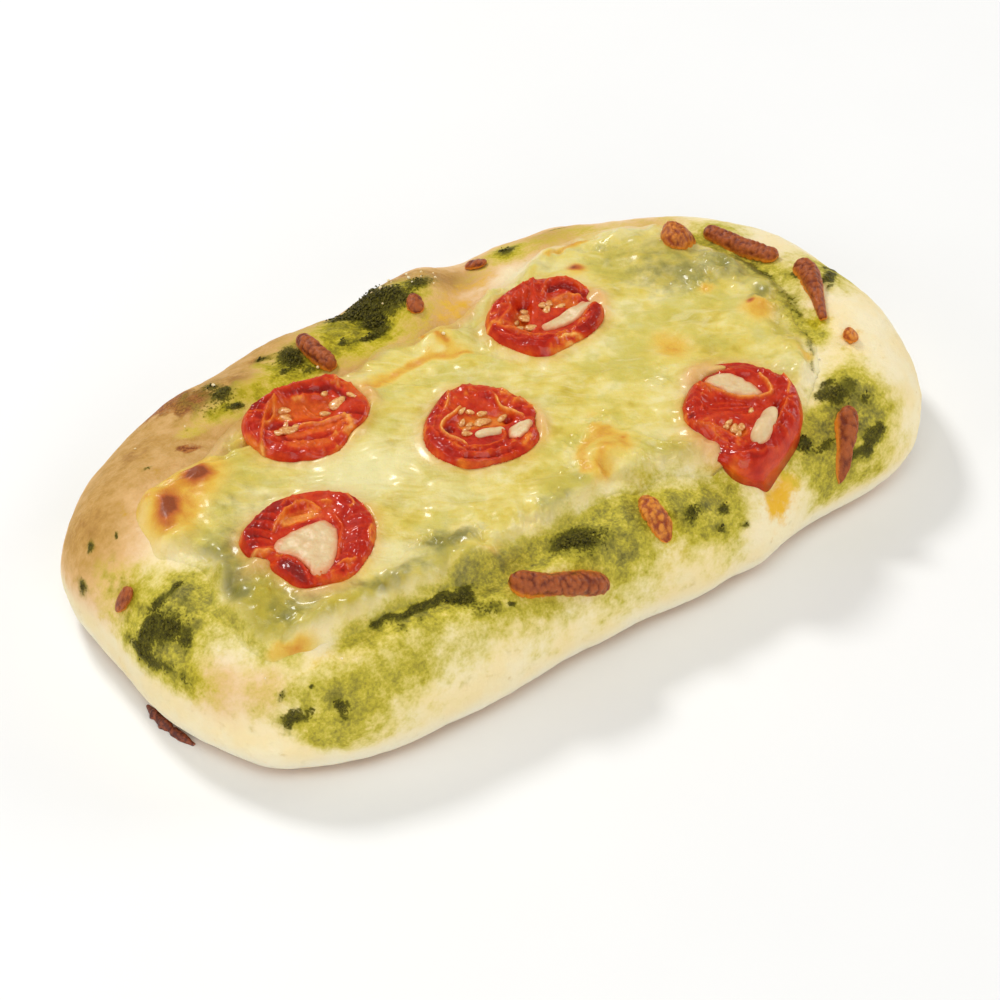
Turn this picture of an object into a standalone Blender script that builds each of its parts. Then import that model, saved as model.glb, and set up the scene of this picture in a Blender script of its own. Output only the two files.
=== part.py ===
"""A caprese focaccia.

A small oval flatbread with a puffy rim, a bed of melted cheese, five dried tomato halves,
strands of browned cheese round the rim and pale strands of cheese on the tomatoes.
Lengths are written in millimetres and turned into metres when a mesh is made.
+X runs along the loaf, +Y to its back and +Z up. Directions are in degrees from +X.
"""

import bmesh
import bpy
import numpy as np

METRES = 0.001
GAP = 0.35
# upright clearance under what lies on a slope
CLEARANCE = 0.6

# Loaf: plan outline, section of its edge and height of its rim
HALF_LENGTH = 92.3
HALF_WIDTH = 51.2
FRONT_POWER = 3.4
BACK_POWER = 2.4
# direction, spread and amount of each bulge of the outline
BULGES = (
    (20, 14, -1.9), (45, 12, 1.9), (70, 12, 1.3), (110, 16, 0.5), (150, 14, 0.7), (180, 10, -2.5),
    (198, 9, -1.5), (210, 8, 2.9), (222, 8, 3.5), (236, 8, 1.8), (287, 8, 1.1), (300, 5, 1.3),
    (314, 7, -1.4), (328, 8, 2.7), (342, 8, -1.3), (356, 8, -1.8),
)
WIDEST_HEIGHT = 10.0
SHOULDER = 20.0
FOOT = 7.0
RIM_HEIGHT = 27.5
# direction, spread and amount of each swell of the rim
SWELLS = (
    (165, 7, 1.0), (152, 7, -1.1), (140, 7, 1.2), (128, 7, -0.9), (117, 7, 0.8), (106, 7, -0.7),
    (96, 7, -2.5), (86, 7, 1.8), (75, 7, 1.8), (62, 7, -3.3), (48, 7, -1.1), (34, 7, -1.1),
    (6, 7, -1.0), (-8, 7, 1.2),
)
SWELLS_FADE_FROM = 16.0
SWELLS_FADE_OVER = 14.0

# Bed of cheese: how far the crumb sinks under it, and how thick it lies
HOLLOW = 3.0
HOLLOW_REACH = 14.0
CHEESE_THICKNESS = 3.2
CHEESE_LIP = 0.6
CHEESE_TAPER = 3.5
# the least cheese over the crumb, under a tomato too
CHEESE_LEAST = 0.4
# how far outside the cheese its slope down to the crust begins, and how long it is
SLOPE_REACH = 2.0
SLOPE_LENGTH = 1.5
# direction, and the cheese's border there as a share of the loaf's radius
CHEESE_EDGE = (
    (0, 0.755), (13, 0.75), (24, 0.79), (35, 0.79), (44, 0.68), (54, 0.57), (68, 0.49), (90, 0.47),
    (112, 0.485), (130, 0.50), (143, 0.59), (152, 0.645), (162, 0.68), (170, 0.84), (178, 0.865),
    (188, 0.82), (196, 0.86), (204, 0.91), (211, 0.83), (219, 0.75), (232, 0.75), (250, 0.735),
    (270, 0.73), (290, 0.725), (298, 0.79), (304, 0.87), (311, 0.84), (320, 0.82), (330, 0.755),
    (344, 0.735),
)

# Folds of the crust: direction and depth of the crease just outside the cheese
CREASE = (
    (0, 0.8), (40, 0.3), (90, 0.2), (150, 0.5), (185, 0.8), (205, 1.4), (220, 2.2), (245, 2.8),
    (275, 2.0), (292, 1.6), (305, 1.0), (325, 0.9),
)
CREASE_OFFSET = 1.5
CREASE_WIDTH = 3.0
# centre, half-widths, turn and height of each puffed part of the rim
PUFFS = (
    ((-58, -46), (22, 6), -5, 0.8),
    ((-14, -46), (16, 5), 0, 0.5),
    ((74, -16), (14, 22), 0, 0.9),
    ((-78, 2), (9, 12), 0, 0.6),
    ((3, 37), (10, 6), -20, 0.8),
    ((-82, -14), (6, 8), 0, 0.5),
)
# the deep pinch at the right front, from its inner to its outer end
PINCH_ENDS = ((27.5, -38.0), (36.5, -54.0))
PINCH_DEPTH = 3.6
PINCH_WIDTH = 2.2
PINCH_SIDE = 1.0
PINCH_LIP = 1.2
PINCH_LIP_WIDTH = 2.5
PINCH_LIP_SIDE = -3.0
# where along the pinch it deepens and runs out, as (start, end) shares of its length
PINCH_DEEPENS = (-0.25, 0.25)
PINCH_RUNS_OUT = (1.2, 1.6)

# Meshes of the loaf and the cheese: quads along, across and down
LOAF_QUADS = (52, 26, 6)
CHEESE_QUADS = (36, 18, 1)
CHEESE_SHARE = CHEESE_QUADS[0] / LOAF_QUADS[0]
TOP_TURN = 31.8
WIDEST_ROW = 0.3
FLAT_BELOW = 1e-7

# Tomato halves: centre, and radius every 30 degrees from each half's own axis
TOMATO_AXIS = -36.0
TOMATOES = (
    ("tomato_1", (-34.2, 14.1), (12.0, 13.6, 12.1, 9.1, 8.1, 8.9, 11.6, 13.0, 13.0, 12.0, 12.2, 10.7)),
    ("tomato_2", (22.9, 11.9), (11.5, 12.3, 12.2, 11.6, 10.3, 10.3, 11.8, 13.2, 12.7, 12.4, 10.7, 10.8)),
    ("tomato_3", (-7.8, -8.5), (11.8, 11.4, 10.9, 12.1, 12.7, 11.3, 11.5, 12.6, 12.5, 11.6, 11.3, 11.6)),
    ("tomato_4", (-52.8, -16.3), (11.7, 13.0, 14.4, 13.6, 13.2, 13.2, 13.8, 11.4, 10.9, 13.5, 13.1, 11.6)),
    ("tomato_5", (36.3, -34.8), (11.3, 11.9, 12.8, 14.6, 15.6, 12.4, 12.1, 12.2, 12.8, 14.0, 11.5, 10.4)),
)
TOMATO_SINK = 2.2
TOMATO_POCKET = 3.0
POCKET_SHARE = 1.2
# share of the radius, and height of the cut face above the cheese
TOMATO_FACE = ((0.0, 0.9), (0.35, 0.8), (0.6, 1.3), (0.8, 1.9), (0.93, 1.5), (1.0, 0.7))
# where its rim rises to full height, and how far from the edge it falls again
RIM_RISES_TO = 0.6
RIM_FALLS_FROM = 0.1
# the wall of flesh between the two seed hollows: height, half its width and turn
WALL_HEIGHT = 0.8
WALL_SHARE = 0.2
WALL_TURN = 0.6
# where the wall ends at the rim, and over how much it fades
WALL_END = 0.7
WALL_FADE = 0.4
# height and number of waves round the rim of the cut face
RIM_WAVES = ((0.25, 3), (0.2, 5))
TOMATO_RINGS = 12
TOMATO_SECTORS = 20

# Browned cheese on the crust: points of the middle line, width and height
BROWNED = (
    ("browned_strand_front", ((-26.2, -43.4), (-19.2, -46.0), (-11.4, -48.0), (-8.0, -48.7)), 3.8, 2.4),
    ("browned_strand_right", ((57.4, -41.4), (55.4, -43.8), (52.6, -46.3), (50.6, -47.8)), 4.0, 2.2),
    ("browned_blister_front", ((7.7, -39.1), (7.1, -43.2), (7.5, -48.2)), 4.6, 1.4),
    ("browned_lump_back", ((56.8, 17.2), (59.8, 16.2), (64.6, 16.2)), 7.6, 2.2),
    ("browned_strand_back", ((67.9, 17.0), (70.2, 11.2), (72.2, 5.6), (73.7, 0.2)), 3.6, 2.0),
    ("browned_strand_corner", ((75.0, -4.2), (74.1, -9.0), (71.7, -14.1), (67.9, -21.2)), 4.0, 2.2),
    ("browned_bead_right", ((70.2, -28.9), (68.0, -27.5)), 3.8, 1.6),
    ("browned_strand_left", ((-20.8, 36.6), (-20.6, 31.2), (-20.2, 25.6)), 3.7, 2.2),
    ("browned_bead_back", ((3.8, 32.2), (2.7, 28.6)), 3.2, 1.4),
    ("browned_bead_left", ((-87.0, -0.4), (-84.2, -2.0)), 4.6, 1.4),
    ("browned_strand_top", ((23.9, 41.2), (25.5, 36.8)), 2.8, 1.5),
)
# Pale cheese on the tomatoes, written the same way
PALE = (
    ("cheese_strand_1", ((-59.4, -15.2), (-54, -15), (-51, -17.6), (-53.2, -22), (-57.2, -25.4)), 5.8, 1.6),
    ("cheese_strand_2", ((19.8, 8.5), (24.0, 7.9), (28.4, 8.7), (32.2, 10.0)), 3.4, 1.4),
    ("cheese_strand_3", ((-11.0, -10.3), (-8.8, -10.7), (-5.0, -11.9)), 2.4, 1.3),
    ("cheese_strand_4", ((-5.0, -16.2), (-2.4, -15.7), (0.0, -14.8)), 3.0, 1.3),
    ("cheese_strand_5", ((35.6, -24.4), (38.0, -27.6), (41.2, -32.6)), 4.6, 1.5),
    ("cheese_strand_6", ((40.2, -38.1), (37.2, -40.4), (31.9, -43.9)), 3.6, 2.4),
)
STRAND_RINGS = 10
STRAND_SECTORS = 8
# a strand's blunt ends, and its lumps: their share of its size and how many go along it
BLUNTNESS = 0.6
LUMP_SHARE = 0.14
LUMPS = 3
LINE_SAMPLES = 61
LINE_SMOOTHINGS = 40

# Burnt scrap under the left end, on the table
SCRAP_DIRECTIONS = (186.0, 195.5)
SCRAP_INSET = 2.9
SCRAP_WIDTH = 2.0
SCRAP_HEIGHT = 1.2

# Materials: colour, roughness and metallic value
CRUST = ("crust", (0.80, 0.62, 0.33), 0.60, 0.0)
CHEESE = ("melted_cheese", (0.83, 0.74, 0.30), 0.30, 0.0)
TOMATO = ("dried_tomato", (0.62, 0.06, 0.02), 0.25, 0.0)
BROWN = ("browned_cheese", (0.36, 0.12, 0.05), 0.40, 0.0)
PALE_CHEESE = ("pale_cheese", (0.85, 0.72, 0.48), 0.35, 0.0)
BURNT = ("burnt_cheese", (0.22, 0.05, 0.02), 0.45, 0.0)


def hill(angle, direction, spread):
    """A bell over the angle, 1 in its own direction."""
    gap = (np.degrees(angle) - direction + 180) % 360 - 180
    return np.exp(-((gap / spread) ** 2))


def bell(x, y, centre, half_widths, turn):
    """A bell over the plan, 1 at its centre."""
    cos, sin = np.cos(np.radians(turn)), np.sin(np.radians(turn))
    along = ((x - centre[0]) * cos + (y - centre[1]) * sin) / half_widths[0]
    across = ((y - centre[1]) * cos - (x - centre[0]) * sin) / half_widths[1]
    return np.exp(-(along**2 + across**2))


def smooth(share):
    """An even step from 0 to 1."""
    share = np.clip(share, 0, 1)
    return share * share * (3 - 2 * share)


def between(value, low, high):
    """0 below low, 1 above high, eased between."""
    return smooth((value - low) / (high - low))


def dome(share):
    """A quarter round, from 0 at the edge to 1."""
    return np.sqrt(1 - (1 - np.clip(share, 0, 1)) ** 2)


def around(angle, knots):
    """A smooth closed curve through (direction, value) knots."""
    where, value = np.array(knots, float).T
    where = np.concatenate([where[-2:] - 360, where, where[:2] + 360])
    value = np.concatenate([value[-2:], value, value[:2]])
    slope = np.gradient(value, where)
    degrees = np.degrees(angle) % 360
    i = np.clip(np.searchsorted(where, degrees) - 1, 0, len(where) - 2)
    span = where[i + 1] - where[i]
    t = (degrees - where[i]) / span
    start = (1 + 2 * t) * (1 - t) ** 2 * value[i] + t * (1 - t) ** 2 * span * slope[i]
    end = t * t * (3 - 2 * t) * value[i + 1] - t * t * (1 - t) * span * slope[i + 1]
    return start + end


def outline_radius(angle):
    """Radius of the loaf in plan: an oval, squarer in front, with bulges."""
    power = np.where(np.sin(angle) < 0, FRONT_POWER, BACK_POWER)
    along = np.abs(np.cos(angle) / HALF_LENGTH) ** power
    across = np.abs(np.sin(angle) / HALF_WIDTH) ** power
    radius = (along + across) ** (-1 / power)
    for direction, spread, amount in BULGES:
        radius = radius + amount * hill(angle, direction, spread)
    return radius


def cheese_radius(angle):
    return outline_radius(angle) * around(angle, CHEESE_EDGE)


def lean(angle, radius_of):
    """Cosine of the angle between a ray from the middle and the outline's normal."""
    step = 0.01
    radius = radius_of(angle)
    slope = (radius_of(angle + step) - radius_of(angle - step)) / (2 * step)
    return radius / np.hypot(radius, slope)


def inset(x, y, radius_of=outline_radius):
    """Distance inside an outline, negative outside it."""
    angle = np.arctan2(y, x)
    return (radius_of(angle) - np.hypot(x, y)) * lean(angle, radius_of)


def plain_top(x, y):
    """The loaf's top with its rounded rim and the hollow under the cheese, without folds."""
    angle = np.arctan2(y, x)
    within = inset(x, y)
    near_rim = 1 - smooth((within - SWELLS_FADE_FROM) / SWELLS_FADE_OVER)
    rim = RIM_HEIGHT
    for direction, spread, amount in SWELLS:
        rim = rim + amount * hill(angle, direction, spread) * near_rim
    height = WIDEST_HEIGHT + (rim - WIDEST_HEIGHT) * dome(within / SHOULDER)
    return height - HOLLOW * smooth((inset(x, y, cheese_radius) + SLOPE_REACH) / HOLLOW_REACH)


def pinch(x, y):
    """The groove where the front rim folds under itself, with a lip on its left."""
    (start_x, start_y), (end_x, end_y) = PINCH_ENDS
    run_x, run_y = end_x - start_x, end_y - start_y
    length = np.hypot(run_x, run_y)
    along = ((x - start_x) * run_x + (y - start_y) * run_y) / length**2
    side = ((y - start_y) * run_x - (x - start_x) * run_y) / length
    groove = np.exp(-(((side - PINCH_SIDE) / PINCH_WIDTH) ** 2))
    lip = np.exp(-(((side - PINCH_LIP_SIDE) / PINCH_LIP_WIDTH) ** 2))
    window = between(along, *PINCH_DEEPENS) * (1 - between(along, *PINCH_RUNS_OUT))
    return window * (PINCH_LIP * lip - PINCH_DEPTH * groove)


def folds(x, y):
    """Crease round the cheese, puffed parts of the rim and the pinch."""
    outside = inset(x, y, cheese_radius) + CREASE_OFFSET
    height = -around(np.arctan2(y, x), CREASE) * np.exp(-((outside / CREASE_WIDTH) ** 2))
    for centre, half_widths, turn, amount in PUFFS:
        height = height + amount * bell(x, y, centre, half_widths, turn)
    return height + pinch(x, y)


def bread_top(x, y):
    return plain_top(x, y) + folds(x, y) * dome(inset(x, y) / SHOULDER)


def cheese_plane(x, y):
    """The level that the tomatoes lie at."""
    return plain_top(x, y) + GAP + CHEESE_LIP + CHEESE_THICKNESS


def tomato_share(x, y, centre, radii):
    """Place inside a tomato, from 0 at its centre to 1 at its edge, and the direction there."""
    angle = np.arctan2(y - centre[1], x - centre[0]) - np.radians(TOMATO_AXIS)
    knots = tuple((30 * i, radius) for i, radius in enumerate(radii))
    return np.hypot(x - centre[0], y - centre[1]) / around(angle, knots), angle


def cheese_top(x, y):
    """Top of the melted cheese, thin at its border, with a pocket under each tomato."""
    within = np.maximum(inset(x, y, cheese_radius), 0)
    bread = bread_top(x, y)
    height = bread + GAP + CHEESE_LIP + CHEESE_THICKNESS * (1 - np.exp(-within / CHEESE_TAPER))
    for _, centre, radii in TOMATOES:
        share, _ = tomato_share(x, y, centre, radii)
        pocket = cheese_plane(x, y) - TOMATO_POCKET * (1 - (share / POCKET_SHARE) ** 2)
        height = np.minimum(height, pocket)
    return np.maximum(height, bread + GAP + CHEESE_LEAST)


def tomato_face(share, angle):
    """Height of a tomato's cut face: a raised rim round two seed hollows with a wall between."""
    where, height = zip(*TOMATO_FACE)
    face = np.interp(share, where, height)
    on_rim = smooth(share / RIM_RISES_TO) * smooth((1 - share) / RIM_FALLS_FROM)
    for amount, number in RIM_WAVES:
        face = face + amount * np.cos(number * angle) * on_rim
    across = share * np.sin(angle + WALL_TURN)
    wall = WALL_HEIGHT * np.exp(-((across / WALL_SHARE) ** 2))
    return face + wall * smooth((WALL_END - share) / WALL_FADE)


def tomato_top(x, y):
    """Top of whichever tomato lies at a place."""
    height = cheese_plane(x, y)
    for _, centre, radii in TOMATOES:
        share, angle = tomato_share(x, y, centre, radii)
        face = cheese_plane(x, y) + tomato_face(share, angle)
        height = np.where(share < 1, face, height)
    return height


def open_top(x, y):
    """The cheese where there is cheese, and the crust elsewhere, with a slope between them."""
    on_cheese = smooth((inset(x, y, cheese_radius) + SLOPE_REACH) / SLOPE_LENGTH)
    return bread_top(x, y) + (cheese_top(x, y) - bread_top(x, y)) * on_cheese


def place_loaf(u, v, w):
    """Moves the points of a gridded box onto the loaf."""
    angle = np.arctan2(v * HALF_WIDTH, u * HALF_LENGTH)
    share = np.maximum(np.abs(u), np.abs(v))
    turn = np.radians(np.interp(w, (-1, WIDEST_ROW, 1), (-90, 0, TOP_TURN)))
    tuck = np.where(turn > 0, SHOULDER, FOOT) * (1 - np.cos(turn))
    border = outline_radius(angle) - tuck / lean(angle, outline_radius)
    cheese = cheese_radius(angle)
    ring = (share - CHEESE_SHARE) / (1 - CHEESE_SHARE)
    top = np.where(ring < 0, cheese * share / CHEESE_SHARE, cheese + (border - cheese) * ring)
    radius = np.where(w > 0, top, border * share)
    x, y = radius * np.cos(angle), radius * np.sin(angle)
    return x, y, np.where(turn >= 0, bread_top(x, y), WIDEST_HEIGHT * (1 + np.sin(turn)))


def place_cheese(u, v, w):
    """Moves the points of a gridded box onto the bed of cheese."""
    angle = np.arctan2(v * HALF_WIDTH, u * HALF_LENGTH)
    radius = cheese_radius(angle) * np.maximum(np.abs(u), np.abs(v))
    x, y = radius * np.cos(angle), radius * np.sin(angle)
    return x, y, np.where(w > 0, cheese_top(x, y), bread_top(x, y) + GAP)


def place_tomato(centre, radii):
    """Returns what moves the points of a ball onto a tomato half."""
    knots = tuple((30 * i, radius) for i, radius in enumerate(radii))

    def place(u, v, w):
        angle = np.arctan2(v, u)
        share = np.hypot(u, v)
        radius = share * around(angle, knots)
        x = centre[0] + radius * np.cos(angle + np.radians(TOMATO_AXIS))
        y = centre[1] + radius * np.sin(angle + np.radians(TOMATO_AXIS))
        under = -TOMATO_SINK * (1 - share**2)
        return x, y, cheese_plane(x, y) + np.where(w >= 0, tomato_face(share, angle), under)

    return place


def smooth_line(points, along):
    """Places and directions on a smooth line between points, for along from 0 to 1."""
    points = np.array(points, float)
    knots = np.linspace(0, 1, len(points))
    samples = np.linspace(0, 1, LINE_SAMPLES)
    line = np.stack([np.interp(samples, knots, points[:, i]) for i in (0, 1)], axis=1)
    for _ in range(LINE_SMOOTHINGS):
        line[1:-1] = (line[:-2] + 2 * line[1:-1] + line[2:]) / 4
    heading = np.gradient(line, axis=0)
    heading /= np.linalg.norm(heading, axis=1)[:, None]
    where = [np.interp(along, samples, line[:, i]) for i in (0, 1)]
    direction = [np.interp(along, samples, heading[:, i]) for i in (0, 1)]
    return where, direction


def place_strand(points, width, height, rests_on, lift):
    """Returns what moves the points of a ball onto a strand that lies on a surface."""

    def place(u, v, w):
        along = (1 + w) / 2
        (x, y), (head_x, head_y) = smooth_line(points, along)
        angle = np.arctan2(v, u)
        size = np.hypot(u, v) ** BLUNTNESS
        size = size * (1 + LUMP_SHARE * np.sin(2 * np.pi * LUMPS * along + points[0][0]))
        side = width / 2 * size * np.cos(angle)
        x, y = x - head_y * side, y + head_x * side
        above = height * size * np.clip(np.sin(angle), 0, 1)
        return x, y, rests_on(x, y) + lift + above

    return place


def place_scrap(u, v, w):
    """Moves the points of a ball onto the burnt scrap, which lies on the table."""
    start, end = SCRAP_DIRECTIONS
    direction = np.radians(start + (end - start) * (1 + w) / 2)
    angle = np.arctan2(v, u)
    size = np.hypot(u, v) ** BLUNTNESS
    radius = outline_radius(direction) - SCRAP_INSET - SCRAP_WIDTH / 2 * size * np.cos(angle)
    height = SCRAP_HEIGHT * size * np.clip(np.sin(angle), 0, 1)
    return radius * np.cos(direction), radius * np.sin(direction), height


def gridded_box(quads):
    """A cube whose faces are divided into a grid, each quad split from its inner to its outer corner."""
    mesh = bmesh.new()
    bmesh.ops.create_cube(mesh, size=2)
    for axis, number in enumerate(quads):
        edges = [e for e in mesh.edges if abs(e.verts[0].co[axis] - e.verts[1].co[axis]) > 1]
        if number > 1:
            bmesh.ops.subdivide_edges(mesh, edges=edges, cuts=number - 1, use_grid_fill=True)
    for face in list(mesh.faces):
        ordered = sorted(face.verts, key=lambda vert: abs(vert.co.x) + abs(vert.co.y) + vert.co.z)
        bmesh.utils.face_split(face, ordered[0], ordered[-1])
    return mesh


def ball(sectors, rings):
    mesh = bmesh.new()
    bmesh.ops.create_uvsphere(mesh, u_segments=sectors, v_segments=rings, radius=1)
    return mesh


def merge_flat_base(mesh):
    """Makes the flat underside one face."""
    flat = [face for face in mesh.faces if all(vert.co.z < FLAT_BELOW for vert in face.verts)]
    bmesh.ops.dissolve_faces(mesh, faces=flat, use_verts=True)


def shape(name, mesh, place, finish, collection, flat_base=False):
    """Moves a mesh's points with place and makes it an object."""
    start = np.array([vert.co for vert in mesh.verts])
    moved = np.stack(place(*start.T), axis=1) * METRES
    for vert, point in zip(mesh.verts, moved):
        vert.co = point
    if flat_base:
        merge_flat_base(mesh)
    data = bpy.data.meshes.new(name)
    mesh.to_mesh(data)
    mesh.free()
    data.shade_smooth()
    data.materials.append(finish)
    obj = bpy.data.objects.new(name, data)
    collection.objects.link(obj)
    return obj


def material(name, colour, roughness, metallic):
    made = bpy.data.materials.new(name)
    made.use_nodes = True
    shader = made.node_tree.nodes["Principled BSDF"]
    shader.inputs["Base Color"].default_value = (*colour, 1)
    shader.inputs["Roughness"].default_value = roughness
    shader.inputs["Metallic"].default_value = metallic
    made.diffuse_color = (*colour, 1)
    return made


def clear_scene():
    for obj in list(bpy.data.objects):
        bpy.data.objects.remove(obj, do_unlink=True)


def main():
    clear_scene()
    collection = bpy.data.collections.new("caprese_focaccia")
    bpy.context.scene.collection.children.link(collection)

    shape("bread", gridded_box(LOAF_QUADS), place_loaf, material(*CRUST), collection, flat_base=True)
    shape("melted_cheese", gridded_box(CHEESE_QUADS), place_cheese, material(*CHEESE), collection)

    tomato = material(*TOMATO)
    for name, centre, radii in TOMATOES:
        mesh = ball(TOMATO_SECTORS, TOMATO_RINGS)
        shape(name, mesh, place_tomato(centre, radii), tomato, collection)

    brown = material(*BROWN)
    for name, points, width, height in BROWNED:
        place = place_strand(points, width, height, open_top, CLEARANCE)
        shape(name, ball(STRAND_SECTORS, STRAND_RINGS), place, brown, collection)

    pale = material(*PALE_CHEESE)
    for name, points, width, height in PALE:
        place = place_strand(points, width, height, tomato_top, CLEARANCE)
        shape(name, ball(STRAND_SECTORS, STRAND_RINGS), place, pale, collection)

    shape("burnt_scrap", ball(STRAND_SECTORS, STRAND_RINGS), place_scrap, material(*BURNT), collection)


main()
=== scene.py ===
"""The looks of a caprese focaccia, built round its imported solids.

Lengths are in millimetres and turned into metres when a mesh is made. Places are in the solids' own frame:
+X along the loaf, +Y to its back, +Z up. Directions are in degrees from +X.
"""

import itertools

import bpy
import numpy as np
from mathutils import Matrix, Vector


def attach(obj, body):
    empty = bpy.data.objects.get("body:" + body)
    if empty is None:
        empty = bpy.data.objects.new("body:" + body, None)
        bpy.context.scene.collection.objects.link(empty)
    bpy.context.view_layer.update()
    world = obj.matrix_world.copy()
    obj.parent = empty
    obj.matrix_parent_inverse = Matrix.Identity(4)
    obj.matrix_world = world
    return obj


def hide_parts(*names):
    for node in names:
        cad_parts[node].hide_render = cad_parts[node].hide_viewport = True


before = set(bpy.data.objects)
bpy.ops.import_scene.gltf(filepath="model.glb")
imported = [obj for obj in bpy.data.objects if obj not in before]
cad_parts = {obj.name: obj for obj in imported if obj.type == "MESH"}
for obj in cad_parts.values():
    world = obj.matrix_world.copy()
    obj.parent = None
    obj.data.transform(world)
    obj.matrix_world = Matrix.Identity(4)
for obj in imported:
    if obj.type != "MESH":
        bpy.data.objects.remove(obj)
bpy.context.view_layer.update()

METRES = 0.001

# Loaf, as the solids have it
HALF_LENGTH = 92.3
HALF_WIDTH = 51.2
FRONT_POWER = 3.4
BACK_POWER = 2.4
BULGES = (
    (20, 14, -1.9), (45, 12, 1.9), (70, 12, 1.3), (110, 16, 0.5), (150, 14, 0.7), (180, 10, -2.5),
    (198, 9, -1.5), (210, 8, 2.9), (222, 8, 3.5), (236, 8, 1.8), (287, 8, 1.1), (300, 5, 1.3),
    (314, 7, -1.4), (328, 8, 2.7), (342, 8, -1.3), (356, 8, -1.8),
)
WIDEST_HEIGHT = 10.0
SHOULDER = 20.0
FOOT = 7.0
RIM_HEIGHT = 27.5
SWELLS = (
    (165, 7, 1), (152, 7, -1.1), (140, 7, 1.2), (128, 7, -0.9), (117, 7, 0.8), (106, 7, -0.7),
    (96, 7, -2.5), (86, 7, 1.8), (75, 7, 1.8), (62, 7, -3.3), (48, 7, -1.1), (34, 7, -1.1), (6, 7, -1),
    (-8, 7, 1.2),
)
SWELLS_FADE = (16.0, 30.0)
HOLLOW = 3.0
HOLLOW_SLOPE = (-2.0, 12.0)
CHEESE_THICKNESS = 3.2
CHEESE_LIFT = 0.95
CHEESE_TAPER = 5.6
CHEESE_EDGE = (
    (0, 0.755), (13, 0.75), (24, 0.79), (35, 0.79), (44, 0.68), (54, 0.57), (68, 0.49), (90, 0.47),
    (112, 0.485), (130, 0.50), (143, 0.59), (152, 0.645), (162, 0.68), (170, 0.84), (178, 0.865),
    (188, 0.82), (196, 0.86), (204, 0.91), (211, 0.83), (219, 0.75), (232, 0.75), (250, 0.735),
    (270, 0.73), (290, 0.725), (298, 0.79), (304, 0.87), (311, 0.84), (320, 0.82), (330, 0.755),
    (344, 0.735),
)
CREASE = (
    (0, 0.8), (40, 0.3), (90, 0.2), (150, 0.5), (185, 0.8), (205, 1.4), (220, 2.2), (245, 2.8), (275, 2),
    (292, 1.6), (305, 1), (325, 0.9),
)
CREASE_OFFSET = 1.5
CREASE_WIDTH = 3.0
PUFFS = (
    ((-58, -46), (22, 6), -5, 0.8), ((-14, -46), (16, 5), 0, 0.5), ((74, -16), (14, 22), 0, 0.9),
    ((-78, 2), (9, 12), 0, 0.6), ((3, 37), (10, 6), -20, 0.8), ((-82, -14), (6, 8), 0, 0.5),
)
PINCH_ENDS = ((27.5, -38.0), (36.5, -54.0))
# Lip and groove: distance to the side, width and height
PINCH_PROFILE = ((-3.0, 2.5, 1.2), (1.0, 2.2, -3.6))
# Shares of the groove's length between which it begins and ends
PINCH_BEGINS = (-0.25, 0.25)
PINCH_STOPS = (1.6, 1.2)
TOP_TURN = 31.8

# Direction in which the cheese was drawn out
FLOW = -36.0

# Marks on the crust: x, y, half-widths, turn and strength
BAKED = (
    (-65, 28, 20, 12, 15, 0.85), (-82, 20, 9, 12, 30, 0.75), (-38, 34, 14, 9, 0, 0.9),
    (15, 37, 15, 8, 10, 0.9), (42, 37, 14, 7, -10, 0.85), (62, 27, 8, 6, -35, 0.6),
    (-84, -28, 5, 8, 20, 0.45), (-77, -37, 6, 5, -40, 0.4), (-86, 0, 5, 6, 0, 0.4),
    (-84, 10, 8, 9, 0, 0.6), (-60, -42, 8, 3, 0, 0.25), (-5, 42, 20, 8, 0, 0.8),
)
# Toasted crust, and painted shade in the pinch's groove
TOASTED_AND_FOLD_SHADE = (
    (-47.5, 34, 5.5, 3.8, -15, 1), (-51, 40, 7, 4.5, 0, 0.9), (-56.5, 22.2, 2.8, 0.9, -15, 0.95),
    (7, 39.5, 4.5, 5, 0, 0.75), (-29, 38.5, 3, 1.8, -15, 0.8), (-66.5, 24, 0.9, 2, 0, 0.5),
    (8, 36, 3.6, 3.6, 0, 0.6), (-21, 30, 4, 5, 0, 0.3), (4, 47, 9, 4, 0, 0.8), (-38, 47, 12, 3, 5, 0.7),
    # The last mark on this line and the one below paint the shadow in the pinch's groove
    (-88, -26, 1.6, 4, 15, 0.35), (26, 45, 8, 3, 0, 0.4), (31, -44, 1.6, 4, -60, 0.55),
    (33, -42, 3, 1.6, 0, 0.5),
)
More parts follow.
